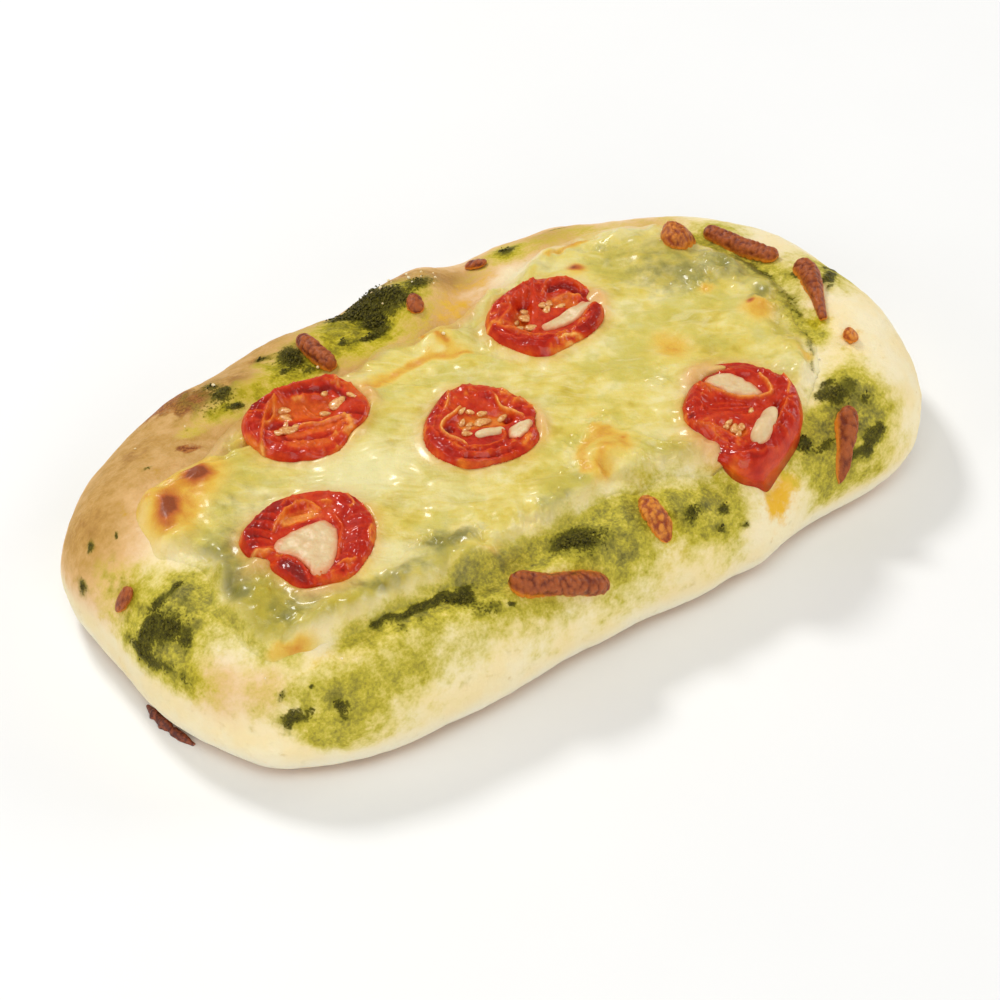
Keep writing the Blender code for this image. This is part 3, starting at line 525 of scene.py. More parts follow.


# Tomato halves. The face is its level at shares of the way out. Radii are 30 degrees apart, from the
# halves' common axis. A mark is its points, half-width, rise and hue, which runs from 0, deep red, over
# red flesh and orange pulp to 1, pale. A seed is its place, turn and length.
# Some marks are painted light, each noted where it stands: painted shade in a valley or under a rim, and
# painted highlights along ridges.
TOMATO_AXIS = -36.0
TOMATO_FACE = (
    (0, 1), (0.35, 0.9), (0.6, 1.3), (0.72, 1.7), (0.85, 1.7), (0.94, 1.3), (1, 0.3), (1.04, -0.9),
    (1.2, -1.5),
)
TOMATOES = {
    "tomato_1": dict(
        centre=(-34.2, 14.1),
        radii=(12, 13.6, 12.1, 9.1, 8.1, 8.9, 11.6, 13, 13, 12, 12.2, 10.7),
        marks=(
            (((-37.3, 17.8), (-34, 16.2), (-30, 14.4)), 3, -0.8, 0.62), (((-41.6, 21.2),), 2, -0.3, 0.12),
            (((-45.4, 16.1),), 1.8, -0.4, 0.25), (((-25.1, 8.6),), 1.2, -0.5, 0.08),
            (((-22.5, 14.6), (-21.7, 11.9)), 2.2, -0.3, 0.6),
            (((-28.3, 12.6), (-25.8, 10.8), (-23.5, 8.8)), 1.5, 0.2, 0.42),
            # Painted shade in the valley under the upper rim
            (((-34.5, 20.3), (-30.7, 19.4), (-27.6, 18), (-25.3, 17.1), (-25.3, 13.7)), 0.8, -0.5, 0.1),
            # Painted highlight along the upper rim's ridge
            (((-36.8, 21.3), (-33.2, 21.1), (-29.9, 20.6), (-26.3, 19.8), (-24.4, 19.3)), 0.7, 0.4, 0.45),
            (((-43, 13.9), (-39.3, 14.8), (-37.4, 12.6)), 0.9, -0.6, 0.15),
            (((-41.1, 7.6), (-38.4, 6.2), (-35.7, 4.8)), 1.6, 0.2, 0.62),
            (((-42.6, 9.8), (-39.6, 8.8), (-36.4, 7), (-33.2, 6.4)), 0.5, -0.5, 0.25),
            (((-40, 10.4), (-36.4, 9.3), (-32.7, 8.3), (-31.2, 7.2)), 1.1, 0.3, 0.62),
            (((-36.9, 11.8), (-34.1, 10), (-31.2, 9.4), (-28.8, 8.6)), 0.45, 1.2, 0.85),
            (((-46.5, 9.2), (-44.2, 7.4), (-41.5, 4.9), (-38.5, 2.8)), 0.8, 0.3, 0.25),
            (((-28.4, 8.1), (-28.7, 6), (-30.7, 5.2)), 0.8, 0.5, 0.9),
            (((-37.2, 20.3), (-39.1, 19.7), (-41.2, 17.9), (-43.3, 15.2), (-45.6, 12.3),
              (-47.1, 9.6)), 0.35, 0.9, 0.7),
            (((-37.5, 20.1), (-38.9, 18.2), (-40.9, 16), (-43, 15.1)), 0.3, 0.7, 0.8),
            (((-44.6, 19.9), (-42.7, 19.5), (-41, 18.8)), 0.25, 0.4, 0.65),
            (((-23.7, 19.3), (-24.7, 16.8)), 0.4, 0.6, 0.95),
            (((-37.2, 18), (-36.5, 16.8)), 0.5, 0.4, 0.9),
            (((-38.4, 16.7), (-37.3, 15.1)), 0.45, 0.4, 0.9),
            (((-33.6, 18.9), (-31.8, 18.4)), 0.6, 0.3, 0.88),
            (((-31.7, 18.5), (-29.3, 17.7), (-27.9, 16.4)), 0.4, 0.5, 0.55),
            (((-31.8, 11.7), (-32.5, 14), (-32.5, 16.8)), 0.4, 0.4, 0.7),
            (((-25.4, 18), (-23.5, 16.9), (-21.4, 16.1)), 0.4, 0.4, 0.7),
            (((-22.5, 17.9), (-20.6, 15.7), (-20.7, 12.3), (-22.2, 9.4)), 0.4, 0.3, 0.75),
        ),
        seeds=(
            (-27, 13.6, 12, 4.2), (-30.3, 12.9, -21, 2.6), (-24, 13.2, -65, 2.2), (-39.4, 12.1, -1, 4.4),
            (-39.1, 13.8, 44, 2.4), (-37.2, 13, 35, 2.6), (-42.2, 11.8, -47, 3), (-36.7, 18, -55, 3),
            (-37.4, 16.3, -65, 3), (-27.6, 17.2, 31, 2.2),
        ),
    ),
    "tomato_2": dict(
        centre=(22.9, 11.9),
        radii=(11.5, 12.3, 12.2, 11.6, 10.3, 10.3, 11.8, 13.2, 12.7, 12.4, 10.7, 10.8),
        marks=(
            (((26.4, 14.5), (28.9, 13), (29.1, 11.3)), 1.7, -1, 0.72),
            # Painted shade under the rim of the pocket above
            (((27.8, 17.9), (30.9, 16.8), (32.3, 13.3)), 1, -1, 0.1),
            (((19.8, 16.2), (17.2, 13.7), (16, 10.9)), 1.6, -1.2, 0.66),
            # The first mark here is painted shade at the top of the left pocket
            (((19.7, 17.2), (20.9, 16.6)), 0.7, -0.5, 0.15), (((14.6, 11.3), (16.1, 9)), 0.6, -0.4, 0.2),
            (((14.6, 18.7), (18, 20.1), (21.7, 21.5)), 1.1, -0.2, 0.3),
            (((18.8, 18.6), (21.6, 19.2), (24.6, 19.5), (23.3, 16.1), (20.4, 12.7),
              (18.5, 9.1)), 1, 0.5, 0.42),
            (((18.4, 19.6), (17.4, 16.7), (13, 14.3)), 0.5, 0.6, 0.6),
            (((8.9, 14.5), (10.9, 14.6), (12.1, 13.7)), 0.8, 0.3, 0.85),
            (((10.5, 13), (11.3, 9.4), (12.9, 6.2), (15.1, 4), (17.9, 4.1)), 1.3, 0.5, 0.2),
            # Painted highlight along the skin roll above
            (((10.7, 11.7), (12, 8.2), (16.2, 4.4)), 0.3, 0.4, 0.45),
            (((11.6, 13.5), (13.8, 10.1), (16.4, 6.3), (19.2, 4.3), (22.1, 4)), 0.35, 0.6, 0.7),
            (((19.9, 3.2), (21.8, 3), (23.9, 2.1)), 0.6, 0.3, 0.98),
            (((19.6, 2.2), (21.4, 1.5)), 0.6, 0.1, 0.75),
            (((31.5, 7), (30, 4.5), (26.9, 3), (24.5, 2.9)), 1.1, 0.5, 0.14),
            (((28, 6.5), (29.9, 7.6), (32.1, 7.8)), 0.4, 0.5, 0.7),
            (((25.5, 17), (27.9, 19.1), (29.5, 19.8), (31.8, 19.1), (33.1, 16.5),
              (32.9, 13.6)), 0.4, 0.7, 0.6),
            (((27.3, 15.1), (29.9, 14.4), (31.5, 12.3)), 0.35, 0.4, 0.8),
            (((13.2, 18.4), (17.7, 20.8), (22.3, 21.7), (26.5, 21.5)), 0.35, 0.3, 0.6),
            (((24, 21.9), (23.3, 19.3), (21.5, 18)), 0.35, 0.5, 0.5),
            (((26.4, 21.4), (24.3, 19.1), (23.6, 15.9)), 0.35, 0.5, 0.35),
        ),
        seeds=(
            (25.9, 15.4, 47, 3), (23.8, 14.7, 41, 2.6), (23.6, 13, 34, 2.6), (26.7, 12.8, -6, 2.8),
            (19.3, 13.6, 6, 4.2), (16.3, 11.9, 6, 2.4), (17.7, 9.9, -20, 3.2), (16.7, 13.8, 34, 2),
            (20.3, 15.8, -36, 2.4),
        ),
    ),
    "tomato_3": dict(
        centre=(-7.8, -8.5),
        radii=(11.8, 11.4, 10.9, 12.1, 12.7, 11.3, 11.5, 12.6, 12.5, 11.6, 11.3, 11.6),
        marks=(
            (((-10, -6.1), (-6.6, -7.1), (-4, -8.7)), 2.2, -0.9, 0.78), (((-14.2, -6),), 1.2, -0.9, 0.08),
            (((-2.5, -9.8),), 1, -0.8, 0.12), (((-16.2, -1.6), (-13, 0.7), (-9.3, 2.7)), 1.4, 0.3, 0.22),
            (((-7.6, 2), (-4.2, 1.9), (-1.7, 0.1), (-0.6, -1.9)), 1.2, 0.3, 0.4),
            (((-8.7, -0.7), (-5.9, -0.9), (-4.2, -3.3), (-3.9, -6.5)), 1, 0.1, 0.48),
            (((-17.8, -6.1), (-18.2, -9.8), (-18.1, -13.9)), 1.3, 0.3, 0.2),
            (((1.2, -2.6), (1.1, -4.9)), 0.6, 0.5, 0.85),
            (((1.2, -7.3), (3.2, -8.2), (2.8, -10.2)), 0.7, 0.6, 0.85),
            (((-2.7, -17.2), (-5, -18.3)), 0.9, 0.4, 0.8), (((0.2, -15.8), (1.7, -14.6)), 0.8, 0.3, 0.6),
            # Painted shade in the valleys between the bottom folds, on this line and the next
            (((-15.4, -13.6), (-12.5, -15.7), (-9, -16.6)), 0.35, -0.5, 0.18),
            (((-16.7, -14.9), (-13.8, -17.1), (-10.3, -18.4)), 0.3, -0.4, 0.18),
            (((-14.8, -12.9), (-11.9, -14.5), (-8.1, -15.5), (-6, -13.6), (-5.7, -12.1)), 0.35, 0.7, 0.6),
            (((-16.6, -13.8), (-13.8, -16.1), (-9.5, -17.3), (-6.2, -18)), 0.35, 0.6, 0.5),
            (((-18.1, -14.8), (-15.2, -17), (-11.3, -18.8), (-7.8, -19.1)), 0.35, 0.5, 0.42),
            (((-8, 2.9), (-9.9, 0.2), (-11.3, -0.8)), 0.3, 0.6, 0.85),
            (((-8.7, -2.2), (-11.3, -3), (-14.4, -4.1), (-16, -5.8), (-16.1, -7.9), (-14.7, -10),
              (-14.3, -11.9)), 0.35, 0.9, 0.98),
            (((-1.7, -4.6), (-2.4, -6.7), (-1.2, -9), (-0.4, -11.6)), 0.35, 0.9, 0.95),
            (((-17, -11.3), (-15.8, -10.7)), 0.4, 0.4, 0.6),
            (((-17.5, -2.4), (-17, -4.5), (-17.6, -7.4)), 0.35, 0.4, 0.5),
            (((-2.9, 2.7), (-4.2, 0.7)), 0.4, 0.3, 0.6), (((-12.2, 1.3), (-12.3, -1)), 0.3, 0.3, 0.5),
        ),
        seeds=(
            (-8.8, -2.9, 16, 2.2), (-7.7, -4, -65, 2.2), (-5.7, -5.4, -7, 2.6), (-6.7, -7.1, -21, 3.4),
            (-9.2, -6.1, 26, 2.2), (-11.1, -7.6, -7, 2.2), (-3, -8.5, 6, 2.6), (-10.3, -5, 34, 2.2),
            (-8.1, -7.2, -77, 2), (-12, -9.1, -21, 2.4),
        ),
    ),
    "tomato_4": dict(
        centre=(-52.8, -16.3),
        radii=(11.7, 13, 14.4, 13.6, 13.2, 13.2, 13.8, 11.4, 10.9, 13.5, 13.1, 11.6),
        marks=(
            (((-64, -11.6), (-60.8, -8.3), (-56.5, -6), (-53.2, -5.2)), 2, 0.2, 0.14),
            (((-42.6, -11.8), (-42.7, -17.2), (-46.4, -22.6), (-51.1, -25.4)), 2.2, 0.2, 0.24),
            (((-54.3, -9.5), (-51.7, -9.5), (-49.2, -10)), 1.5, -0.4, 0.85),
            (((-55.8, -10.3), (-52.5, -10.7), (-50.6, -11.4)), 0.3, -0.3, 0.5),
            (((-52.9, -8.1), (-50.8, -8.6), (-49.1, -9.2)), 0.3, -0.2, 0.6),
            (((-61.5, -20), (-60.6, -22.8), (-60.6, -25.4)), 1.6, 0.5, 0.06),
            (((-58, -27.3), (-56, -28.5), (-53.5, -27.9), (-51.2, -26.5)), 0.9, 0, 0.6),
            (((-53.5, -27.4),), 0.7, 0, 0.1), (((-40.9, -11.9),), 0.9, -0.1, 0.08),
            (((-58.2, -4.8), (-55.7, -7.4)), 0.3, 0.4, 0.35),
            (((-59.7, -6.4), (-57.2, -9.3)), 0.3, 0.4, 0.32),
            (((-61.9, -8.6), (-58.8, -10.8)), 0.3, 0.4, 0.3),
            (((-63.6, -10.7), (-60.1, -12.6)), 0.3, 0.4, 0.35),
            # Painted shade in the valleys between the wrinkles above, on this line and the next two
            (((-59, -5.5), (-56.5, -8.3)), 0.25, -0.3, 0.05),
            (((-60.8, -7.5), (-58, -10.1)), 0.25, -0.3, 0.05),
            (((-62.6, -9.7), (-59.4, -11.8)), 0.25, -0.3, 0.05),
            (((-66.4, -13.7), (-63.8, -13.4), (-61.5, -14.5)), 0.4, 0.4, 0.9),
            (((-51, -4.6), (-47.4, -5.6), (-44.1, -6.6), (-42.5, -8.5)), 0.7, 0.3, 0.5),
            (((-57.7, -10.5), (-56.2, -8.9), (-52.7, -7.2), (-50, -6.9), (-47.9, -7.9),
              (-47.4, -10.4)), 0.35, 0.7, 0.78),
            (((-52.9, -5.9), (-51.2, -4.9), (-49.3, -6.9)), 0.25, 0.4, 0.6),
            (((-40.7, -10), (-41.3, -13.3), (-42.5, -13.5)), 0.3, 0.4, 0.85),
            (((-46, -13.6), (-46.5, -17.1), (-49.4, -20.3), (-52.6, -24.4)), 0.4, 0.6, 0.55),
            (((-44.6, -15.8), (-40.5, -17.1)), 0.3, 0.3, 0.4),
            (((-46.3, -18.8), (-42.2, -20.2)), 0.3, 0.3, 0.4),
            (((-49, -21.7), (-45.4, -23.8)), 0.3, 0.3, 0.4),
            (((-50.7, -23.7), (-48.8, -27.2)), 0.3, 0.3, 0.42),
            (((-42, -20.3), (-43.7, -21.8), (-44.6, -23.5)), 0.35, 0.4, 0.8),
            (((-63.2, -18.8), (-59.7, -17.8), (-58.7, -20), (-59.4, -23.7),
              (-60.2, -26.2)), 0.35, 0.5, 0.4),
            (((-53.5, -25.8), (-51.6, -26.1), (-49.8, -26.1)), 0.3, 0.4, 0.75),
        ),
        seeds=(),
    ),
    "tomato_5": dict(
        centre=(36.3, -34.8),
        radii=(11.3, 11.9, 12.8, 14.6, 15.6, 12.4, 12.1, 12.2, 12.8, 14, 11.5, 10.4),
        marks=(
            (((43.2, -24.2), (44.7, -27.1), (45.5, -31.1), (46, -35.2), (45.4, -39), (43.2, -41.8),
              (39.3, -43.6), (34.1, -45.2), (30.2, -46.1)), 2, 0.3, 0.26),
            (((28, -27.4), (29.9, -27.5), (29.4, -30.1), (26.9, -31.8)), 1.6, 0.2, 0.28),
            (((26.3, -30.8),), 0.8, -0.3, 0.04),
            (((32, -29.7), (34.3, -31.8), (36.6, -34.2)), 2.2, -0.8, 0.27),
            (((31.2, -36.6), (31.8, -39.3)), 1.7, -1.1, 0.66),
            # Painted shade on an inner wall
            (((42.4, -37.7), (40.5, -39.4), (38, -41.5)), 0.8, -1, 0.1),
            (((30.1, -44.3), (30.2, -46.1), (33.8, -45.7)), 1.5, 0.2, 0.18),
            (((48.2, -32.1), (47.1, -35.6), (45.3, -37.2)), 0.35, 0.4, 0.85),
            (((43.9, -38.8), (41.8, -40), (39.2, -41.5), (36.8, -42.8)), 0.4, 0.8, 0.62),
            (((34.2, -25.4), (35.6, -28.2), (37.4, -31.3), (40.1, -33.8), (42.3, -35), (43.3, -34.9),
              (44.3, -32.1), (44.5, -29.4)), 0.45, 0.8, 0.88),
            (((31.4, -30.5), (34.3, -32.2), (37.9, -34.6)), 0.3, 0.3, 0.45),
            (((32.6, -29.5), (35.3, -31), (37.5, -33.2)), 0.3, 0.3, 0.42),
            (((30.3, -31.4), (32.9, -33.4), (35.6, -35)), 0.3, 0.25, 0.42),
            (((25.5, -32.6), (27.9, -34.9), (29.1, -38.2), (30.1, -41.4)), 0.4, 0.5, 0.65),
            (((35.7, -21.1), (34.1, -23.6), (33.6, -26.7)), 0.3, 0.5, 0.6),
            (((28, -27.4), (30.1, -27.2), (30.5, -29.2), (29.1, -30.5)), 0.3, 0.4, 0.5),
            (((47.1, -29.1), (46.3, -32.1)), 0.3, 0.3, 0.5),
            (((44.4, -39.2), (45.2, -41.2)), 0.3, 0.35, 0.5),
            (((41.7, -40.6), (42.6, -42.5)), 0.3, 0.35, 0.5),
            (((39.1, -42.4), (39.7, -44.2)), 0.3, 0.35, 0.5),
            (((28.6, -44.2), (31.5, -45.5), (35.9, -45.5)), 0.3, 0.35, 0.45),
            (((43.7, -38.1), (46.6, -38.5)), 0.3, 0.35, 0.6),
            (((41.7, -22.5), (42.3, -24.3), (42.8, -27)), 0.7, 0.3, 0.3),
            (((29.3, -33.7), (28.4, -35.2)), 0.3, 0.4, 0.5),
        ),
        seeds=(
            (31.5, -37.8, 44, 2.8), (32.9, -38.3, 37, 2.6), (31.8, -35.8, 13, 2.2), (31.4, -39.3, 36, 2.4),
            (37.2, -35.9, 45, 2), (30.6, -36.4, 29, 2),
        ),
    ),
}
# Places where the cheese runs over a tomato's edge: x, y, half-widths, turn and share
COVERED = (
    (-65.2, -15.8, 3.4, 2, 2, 1), (-58.3, -29.6, 4, 1.5, -25, 0.9), (25.2, -38.8, 6.4, 3, -56, 1.1),
    (35, -20.6, 3, 2.6, 15, 0.9), (39.5, -21.6, 3.8, 1.3, -28, 0.7), (34.4, 10.9, 2.4, 2.8, -79, 1),
    (2, -14.4, 1.4, 3, -36, 0.9), (-19.6, 12.4, 1.3, 3.4, -6, 0.8), (-28.4, 4.3, 2.3, 1.2, 22, 0.5),
)
# Random relief and hues of the tomatoes: seed, cell size and height
TOMATO_RELIEF = ((31, 5, 0.25), (32, 2.2, 0.15), (35, 0.7, 0.08))
TOMATO_HUES = ((36, 3, 0.16), (37, 1, 0.08))
PLAIN_HUE = 0.36
# How much paler a tomato's outer edge is: a painted rim light
PAINTED_RIM_LIGHT = 0.38
COVERED_DIP = 2.8


def tomato_share(x, y, tomato):
    """Place inside a tomato, from 0 at its centre to 1 at its edge, and the direction there."""
    (cx, cy), radii = tomato["centre"], tomato["radii"]
    angle = np.arctan2(y - cy, x - cx) - np.radians(TOMATO_AXIS)
    knots = tuple((30 * i, radius) for i, radius in enumerate(radii))
    return np.hypot(x - cx, y - cy) / around(angle, knots), angle


def wrinkles(share, angle):
    """Ridges along the radii of a tomato's rim and round it."""
    cos, sin = np.cos(angle), np.sin(angle)
    radial = (1 - np.abs(noise(33, cos * 8 + share, sin * 8, share * 2))) ** 6
    rounds = (1 - np.abs(noise(38, cos * 2.2, sin * 2.2, share * 9))) ** 8
    return radial, rounds


def tomato_form(x, y, tomato):
    """Height over the cheese and hue of each place on a tomato, with painted highlights on the rim's ridges,
    a painted rim light at its edge and painted shade in some valleys.
    """
    share, angle = tomato_share(x, y, tomato)
    where, level = zip(*TOMATO_FACE)
    on_rim = step(share, 0.5, 0.75) * step(share, 1.02, 0.92)
    radial, rounds = wrinkles(share, angle)
    height = np.interp(share, where, level) + waves((x, y), *TOMATO_RELIEF)
    height = height + (0.5 * radial + 0.3 * rounds) * on_rim
    # The rim is paler along the tops of its wrinkles: painted highlights on the ridges
    hue = PLAIN_HUE + waves((x, y), *TOMATO_HUES) + (0.34 * radial + 0.24 * rounds - 0.1) * on_rim
    for points, half_width, rise, mark_hue in tomato["marks"]:
        mask = stroke(x, y, points, half_width)
        height = height + rise * mask
        hue = hue + (mark_hue - hue) * mask
    # A thin, uneven pale band at the outer edge: painted rim light
    edge = step(share, 0.93, 0.98) * (0.5 + waves((x, y), (39, 2.5, 0.5)))
    height = height - COVERED_DIP * field(x, y, COVERED) * step(share, 0.35, 0.65)
    return height, hue + PAINTED_RIM_LIGHT * edge


def tomato_top(x, y):
    """Top of whichever tomato lies at a place."""
    height = cheese_plane(x, y)
    for tomato in TOMATOES.values():
        inside = np.nonzero(tomato_share(x, y, tomato)[0] < 1)
        if len(inside[0]):
            height[inside] += tomato_form(x[inside], y[inside], tomato)[0]
    return height


def smooth_tomato_top(x, y):
    """Top of the tomatoes without their small folds."""
    offsets = ((0, 0), (1, 0), (-1, 0), (0, 1), (0, -1), (0.7, 0.7), (-0.7, -0.7), (0.7, -0.7), (-0.7, 0.7))
    return sum(tomato_top(x + dx, y + dy) for dx, dy in offsets) / len(offsets)


# Ridges of cheese: seed, cell sizes along and across the flow, and height
RIPPLES = ((41, 17, 2.8, 0.24), (42, 9, 1.2, 0.08))
BENT_BY = 0.55


def draw_ripples(x, y):
    """Ridges of cheese drawn out along its flow, bent round the tomatoes."""
    along, across = turned(x, y, (0, 0), FLOW)
    for tomato in TOMATOES.values():
        share, _ = tomato_share(x, y, tomato)
        _, side = turned(x, y, tomato["centre"], FLOW)
        across = across - side * BENT_BY * peak(np.maximum(share, 0.6), 0.6, 0.7)
    return sum(height * noise(seed, along / long, across / wide) for seed, long, wide, height in RIPPLES)


def bubble_places():
    """Seeded places and radii of the small bubbles."""
    rng = np.random.default_rng(11)
    bubbles = []
    for x, y, half_x, half_y, turn, count in BUBBLY:
        for _ in range(count):
            u, v = rng.normal(size=2) * BUBBLE_SPREAD
            dx, dy = turned(u * half_x, v * half_y, (0, 0), -turn)
            bubbles.append((x + dx, y + dy, rng.uniform(*BUBBLE_RADII)))
    return bubbles


BUBBLES = bubble_places()


def add_bubbles(x, y, height):
    """Raises a small dome at each bubble."""
    for bx, by, radius in BUBBLES:
        near = np.nonzero((np.abs(x - bx) < radius) & (np.abs(y - by) < radius))
        share = ((x[near] - bx) ** 2 + (y[near] - by) ** 2) / radius**2
        height[near] += BUBBLE_RISE * radius * np.clip(1 - share, 0, 1)
    return height


# Random relief of the cheese and of its border: seed, cell size and height
CHEESE_LUMPS = ((43, 11, 0.55), (44, 5.5, 0.5), (45, 2.4, 0.2))
BORDER_LUMPS = ((46, 6, 2.2), (47, 2.4, 1.0))
TOMATO_BED = 0.985


def lapped(x, y, level):
    """The cheese's top with a bed for each tomato, lapping its edge."""
    covered, plane = field(x, y, COVERED), cheese_plane(x, y)
    for tomato in TOMATOES.values():
        share, _ = tomato_share(x, y, tomato)
        lap = 1.5 * covered * step(share, 0.4, 0.6) * step(share, 1.5, 1.1) + 0.5 * peak(share, 1.03, 0.09)
        level = level + (np.minimum(level, plane + 0.1) - level) * step(share, 1.5, 1.05) + lap
        under = plane - 2.9 * step(share, TOMATO_BED, 0.735) + 4.4 * covered * step(share, 0.35, 0.65)
        level = np.where(share < TOMATO_BED, np.minimum(level, under), level)
    return level


def cheese_top(x, y):
    """Top of the melted cheese: thin at its border, with ripples, blisters and bubbles."""
    border = np.maximum(inset(x, y, ragged_radius), 0)
    uneven = waves((x, y), *BORDER_LUMPS) * step(border, 0, 3) * step(border, 14, 6)
    within = np.maximum(border + uneven, 0)
    bread = bread_top(x, y)
    thickness = CHEESE_THICKNESS * (1 - np.exp(-((within / CHEESE_TAPER) ** 1.5)))
    thickness = thickness + CHEESE_LIFT * step(within, 0, CHEESE_TAPER) - 1.1 * np.exp(-border / 1.1)
    level = bread + thickness + step(within, 0, 8) * (waves((x, y), *CHEESE_LUMPS) + draw_ripples(x, y))
    for bx, by, half_x, half_y, turn, rise in BLISTERS:
        level = level + rise * bell(x, y, (bx, by), (half_x, half_y), turn) * step(within, 0, 2)
    level = lapped(x, y, add_bubbles(x, y, level))
    return np.maximum(level, bread + 0.15 - 1.2 * np.exp(-border / 0.6))


def open_top(x, y):
    """The cheese where there is cheese, and the crust elsewhere, with a slope between them."""
    on_cheese = step(inset(x, y, cheese_radius), -2, -0.5)
    return bread_top(x, y) + (cheese_top(x, y) - bread_top(x, y)) * on_cheese


def add_layer(data, name, kind, key, values):
    """Stores values for each point of a mesh."""
    data.attributes.new(name, kind, "POINT").data.foreach_set(key, np.asarray(values, np.float32).ravel())


def add_piece(name, points, faces, finish, marks=None, colour=None):
    """Makes a mesh from points in millimetres and arrays of faces, with named values for each point."""
    data = bpy.data.meshes.new(name)
    data.vertices.add(len(points))
    data.vertices.foreach_set("co", (np.asarray(points) * METRES).astype(np.float32).ravel())
    corners = np.concatenate([np.asarray(group).ravel() for group in faces])
    totals = np.concatenate([np.full(len(group), len(group[0])) for group in faces])
    data.loops.add(len(corners))
    data.loops.foreach_set("vertex_index", corners.astype(np.int32))
    data.polygons.add(len(totals))
    starts = np.concatenate([[0], np.cumsum(totals)[:-1]])
    data.polygons.foreach_set("loop_start", starts.astype(np.int32))
    data.update(calc_edges=True)
    data.validate()
    data.shade_smooth()
    for mark, values in (marks or {}).items():
        add_layer(data, mark, "FLOAT", "value", values)
    if colour is not None:
        with_alpha = np.concatenate([colour, np.ones((len(colour), 1))], axis=1)
        add_layer(data, "tint", "FLOAT_COLOR", "color", with_alpha)
    data.materials.append(finish)
    obj = bpy.data.objects.new(name, data)
    bpy.context.scene.collection.objects.link(obj)
    return obj


def strip_faces(upper, lower):
    """Quads between two closed loops of point numbers, facing outwards when the loops run anticlockwise."""
    return np.stack([upper, lower, np.roll(lower, -1), np.roll(upper, -1)], axis=1)


def fan_faces(middle, loop):
    """Triangles from a middle point to a closed loop of point numbers."""
    return np.stack([np.full(len(loop), middle), loop, np.roll(loop, -1)], axis=1)


def turned_over(triangles):
    """The same triangles facing the other way."""
    return triangles[:, [0, 2, 1]]


def ring_sheet(rings):
    """Points and faces of closed rings joined in turn, the first and last closed with a fan."""
    count = len(rings[0])
    points = np.concatenate(list(rings) + [rings[0].mean(0)[None], rings[-1].mean(0)[None]])
    loops = [np.arange(count) + i * count for i in range(len(rings))]
    quads = np.concatenate([strip_faces(a, b) for a, b in zip(loops[:-1], loops[1:])])
    top = fan_faces(len(points) - 2, loops[0])
    base = turned_over(fan_faces(len(points) - 1, loops[-1]))
    return points, [quads, np.concatenate([top, base])]


def gathered(parts):
    """Many small closed forms as the points and faces of one mesh."""
    starts = np.cumsum([0] + [len(points) for points, _ in parts])
    faces = [np.concatenate([part[kind] + start for (_, part), start in zip(parts, starts)])
             for kind in (0, 1)]
    return np.concatenate([points for points, _ in parts]), faces


def even_directions(count):
    """Directions spaced evenly along the loaf's outline."""
    angle = np.linspace(0, 2 * np.pi, 4001)
    x, y = places_at(outline_radius(angle), angle)
    run = np.concatenate([[0], np.cumsum(np.hypot(np.diff(x), np.diff(y)))])
    return np.interp(np.arange(count) * run[-1] / count, run, angle)


# Materials


def srgb(red, green, blue):
    """A screen colour from 0 to 255 as linear values."""
    value = np.array([red, green, blue]) / 255
    return tuple(np.where(value <= 0.04045, value / 12.92, ((value + 0.055) / 1.055) ** 2.4))


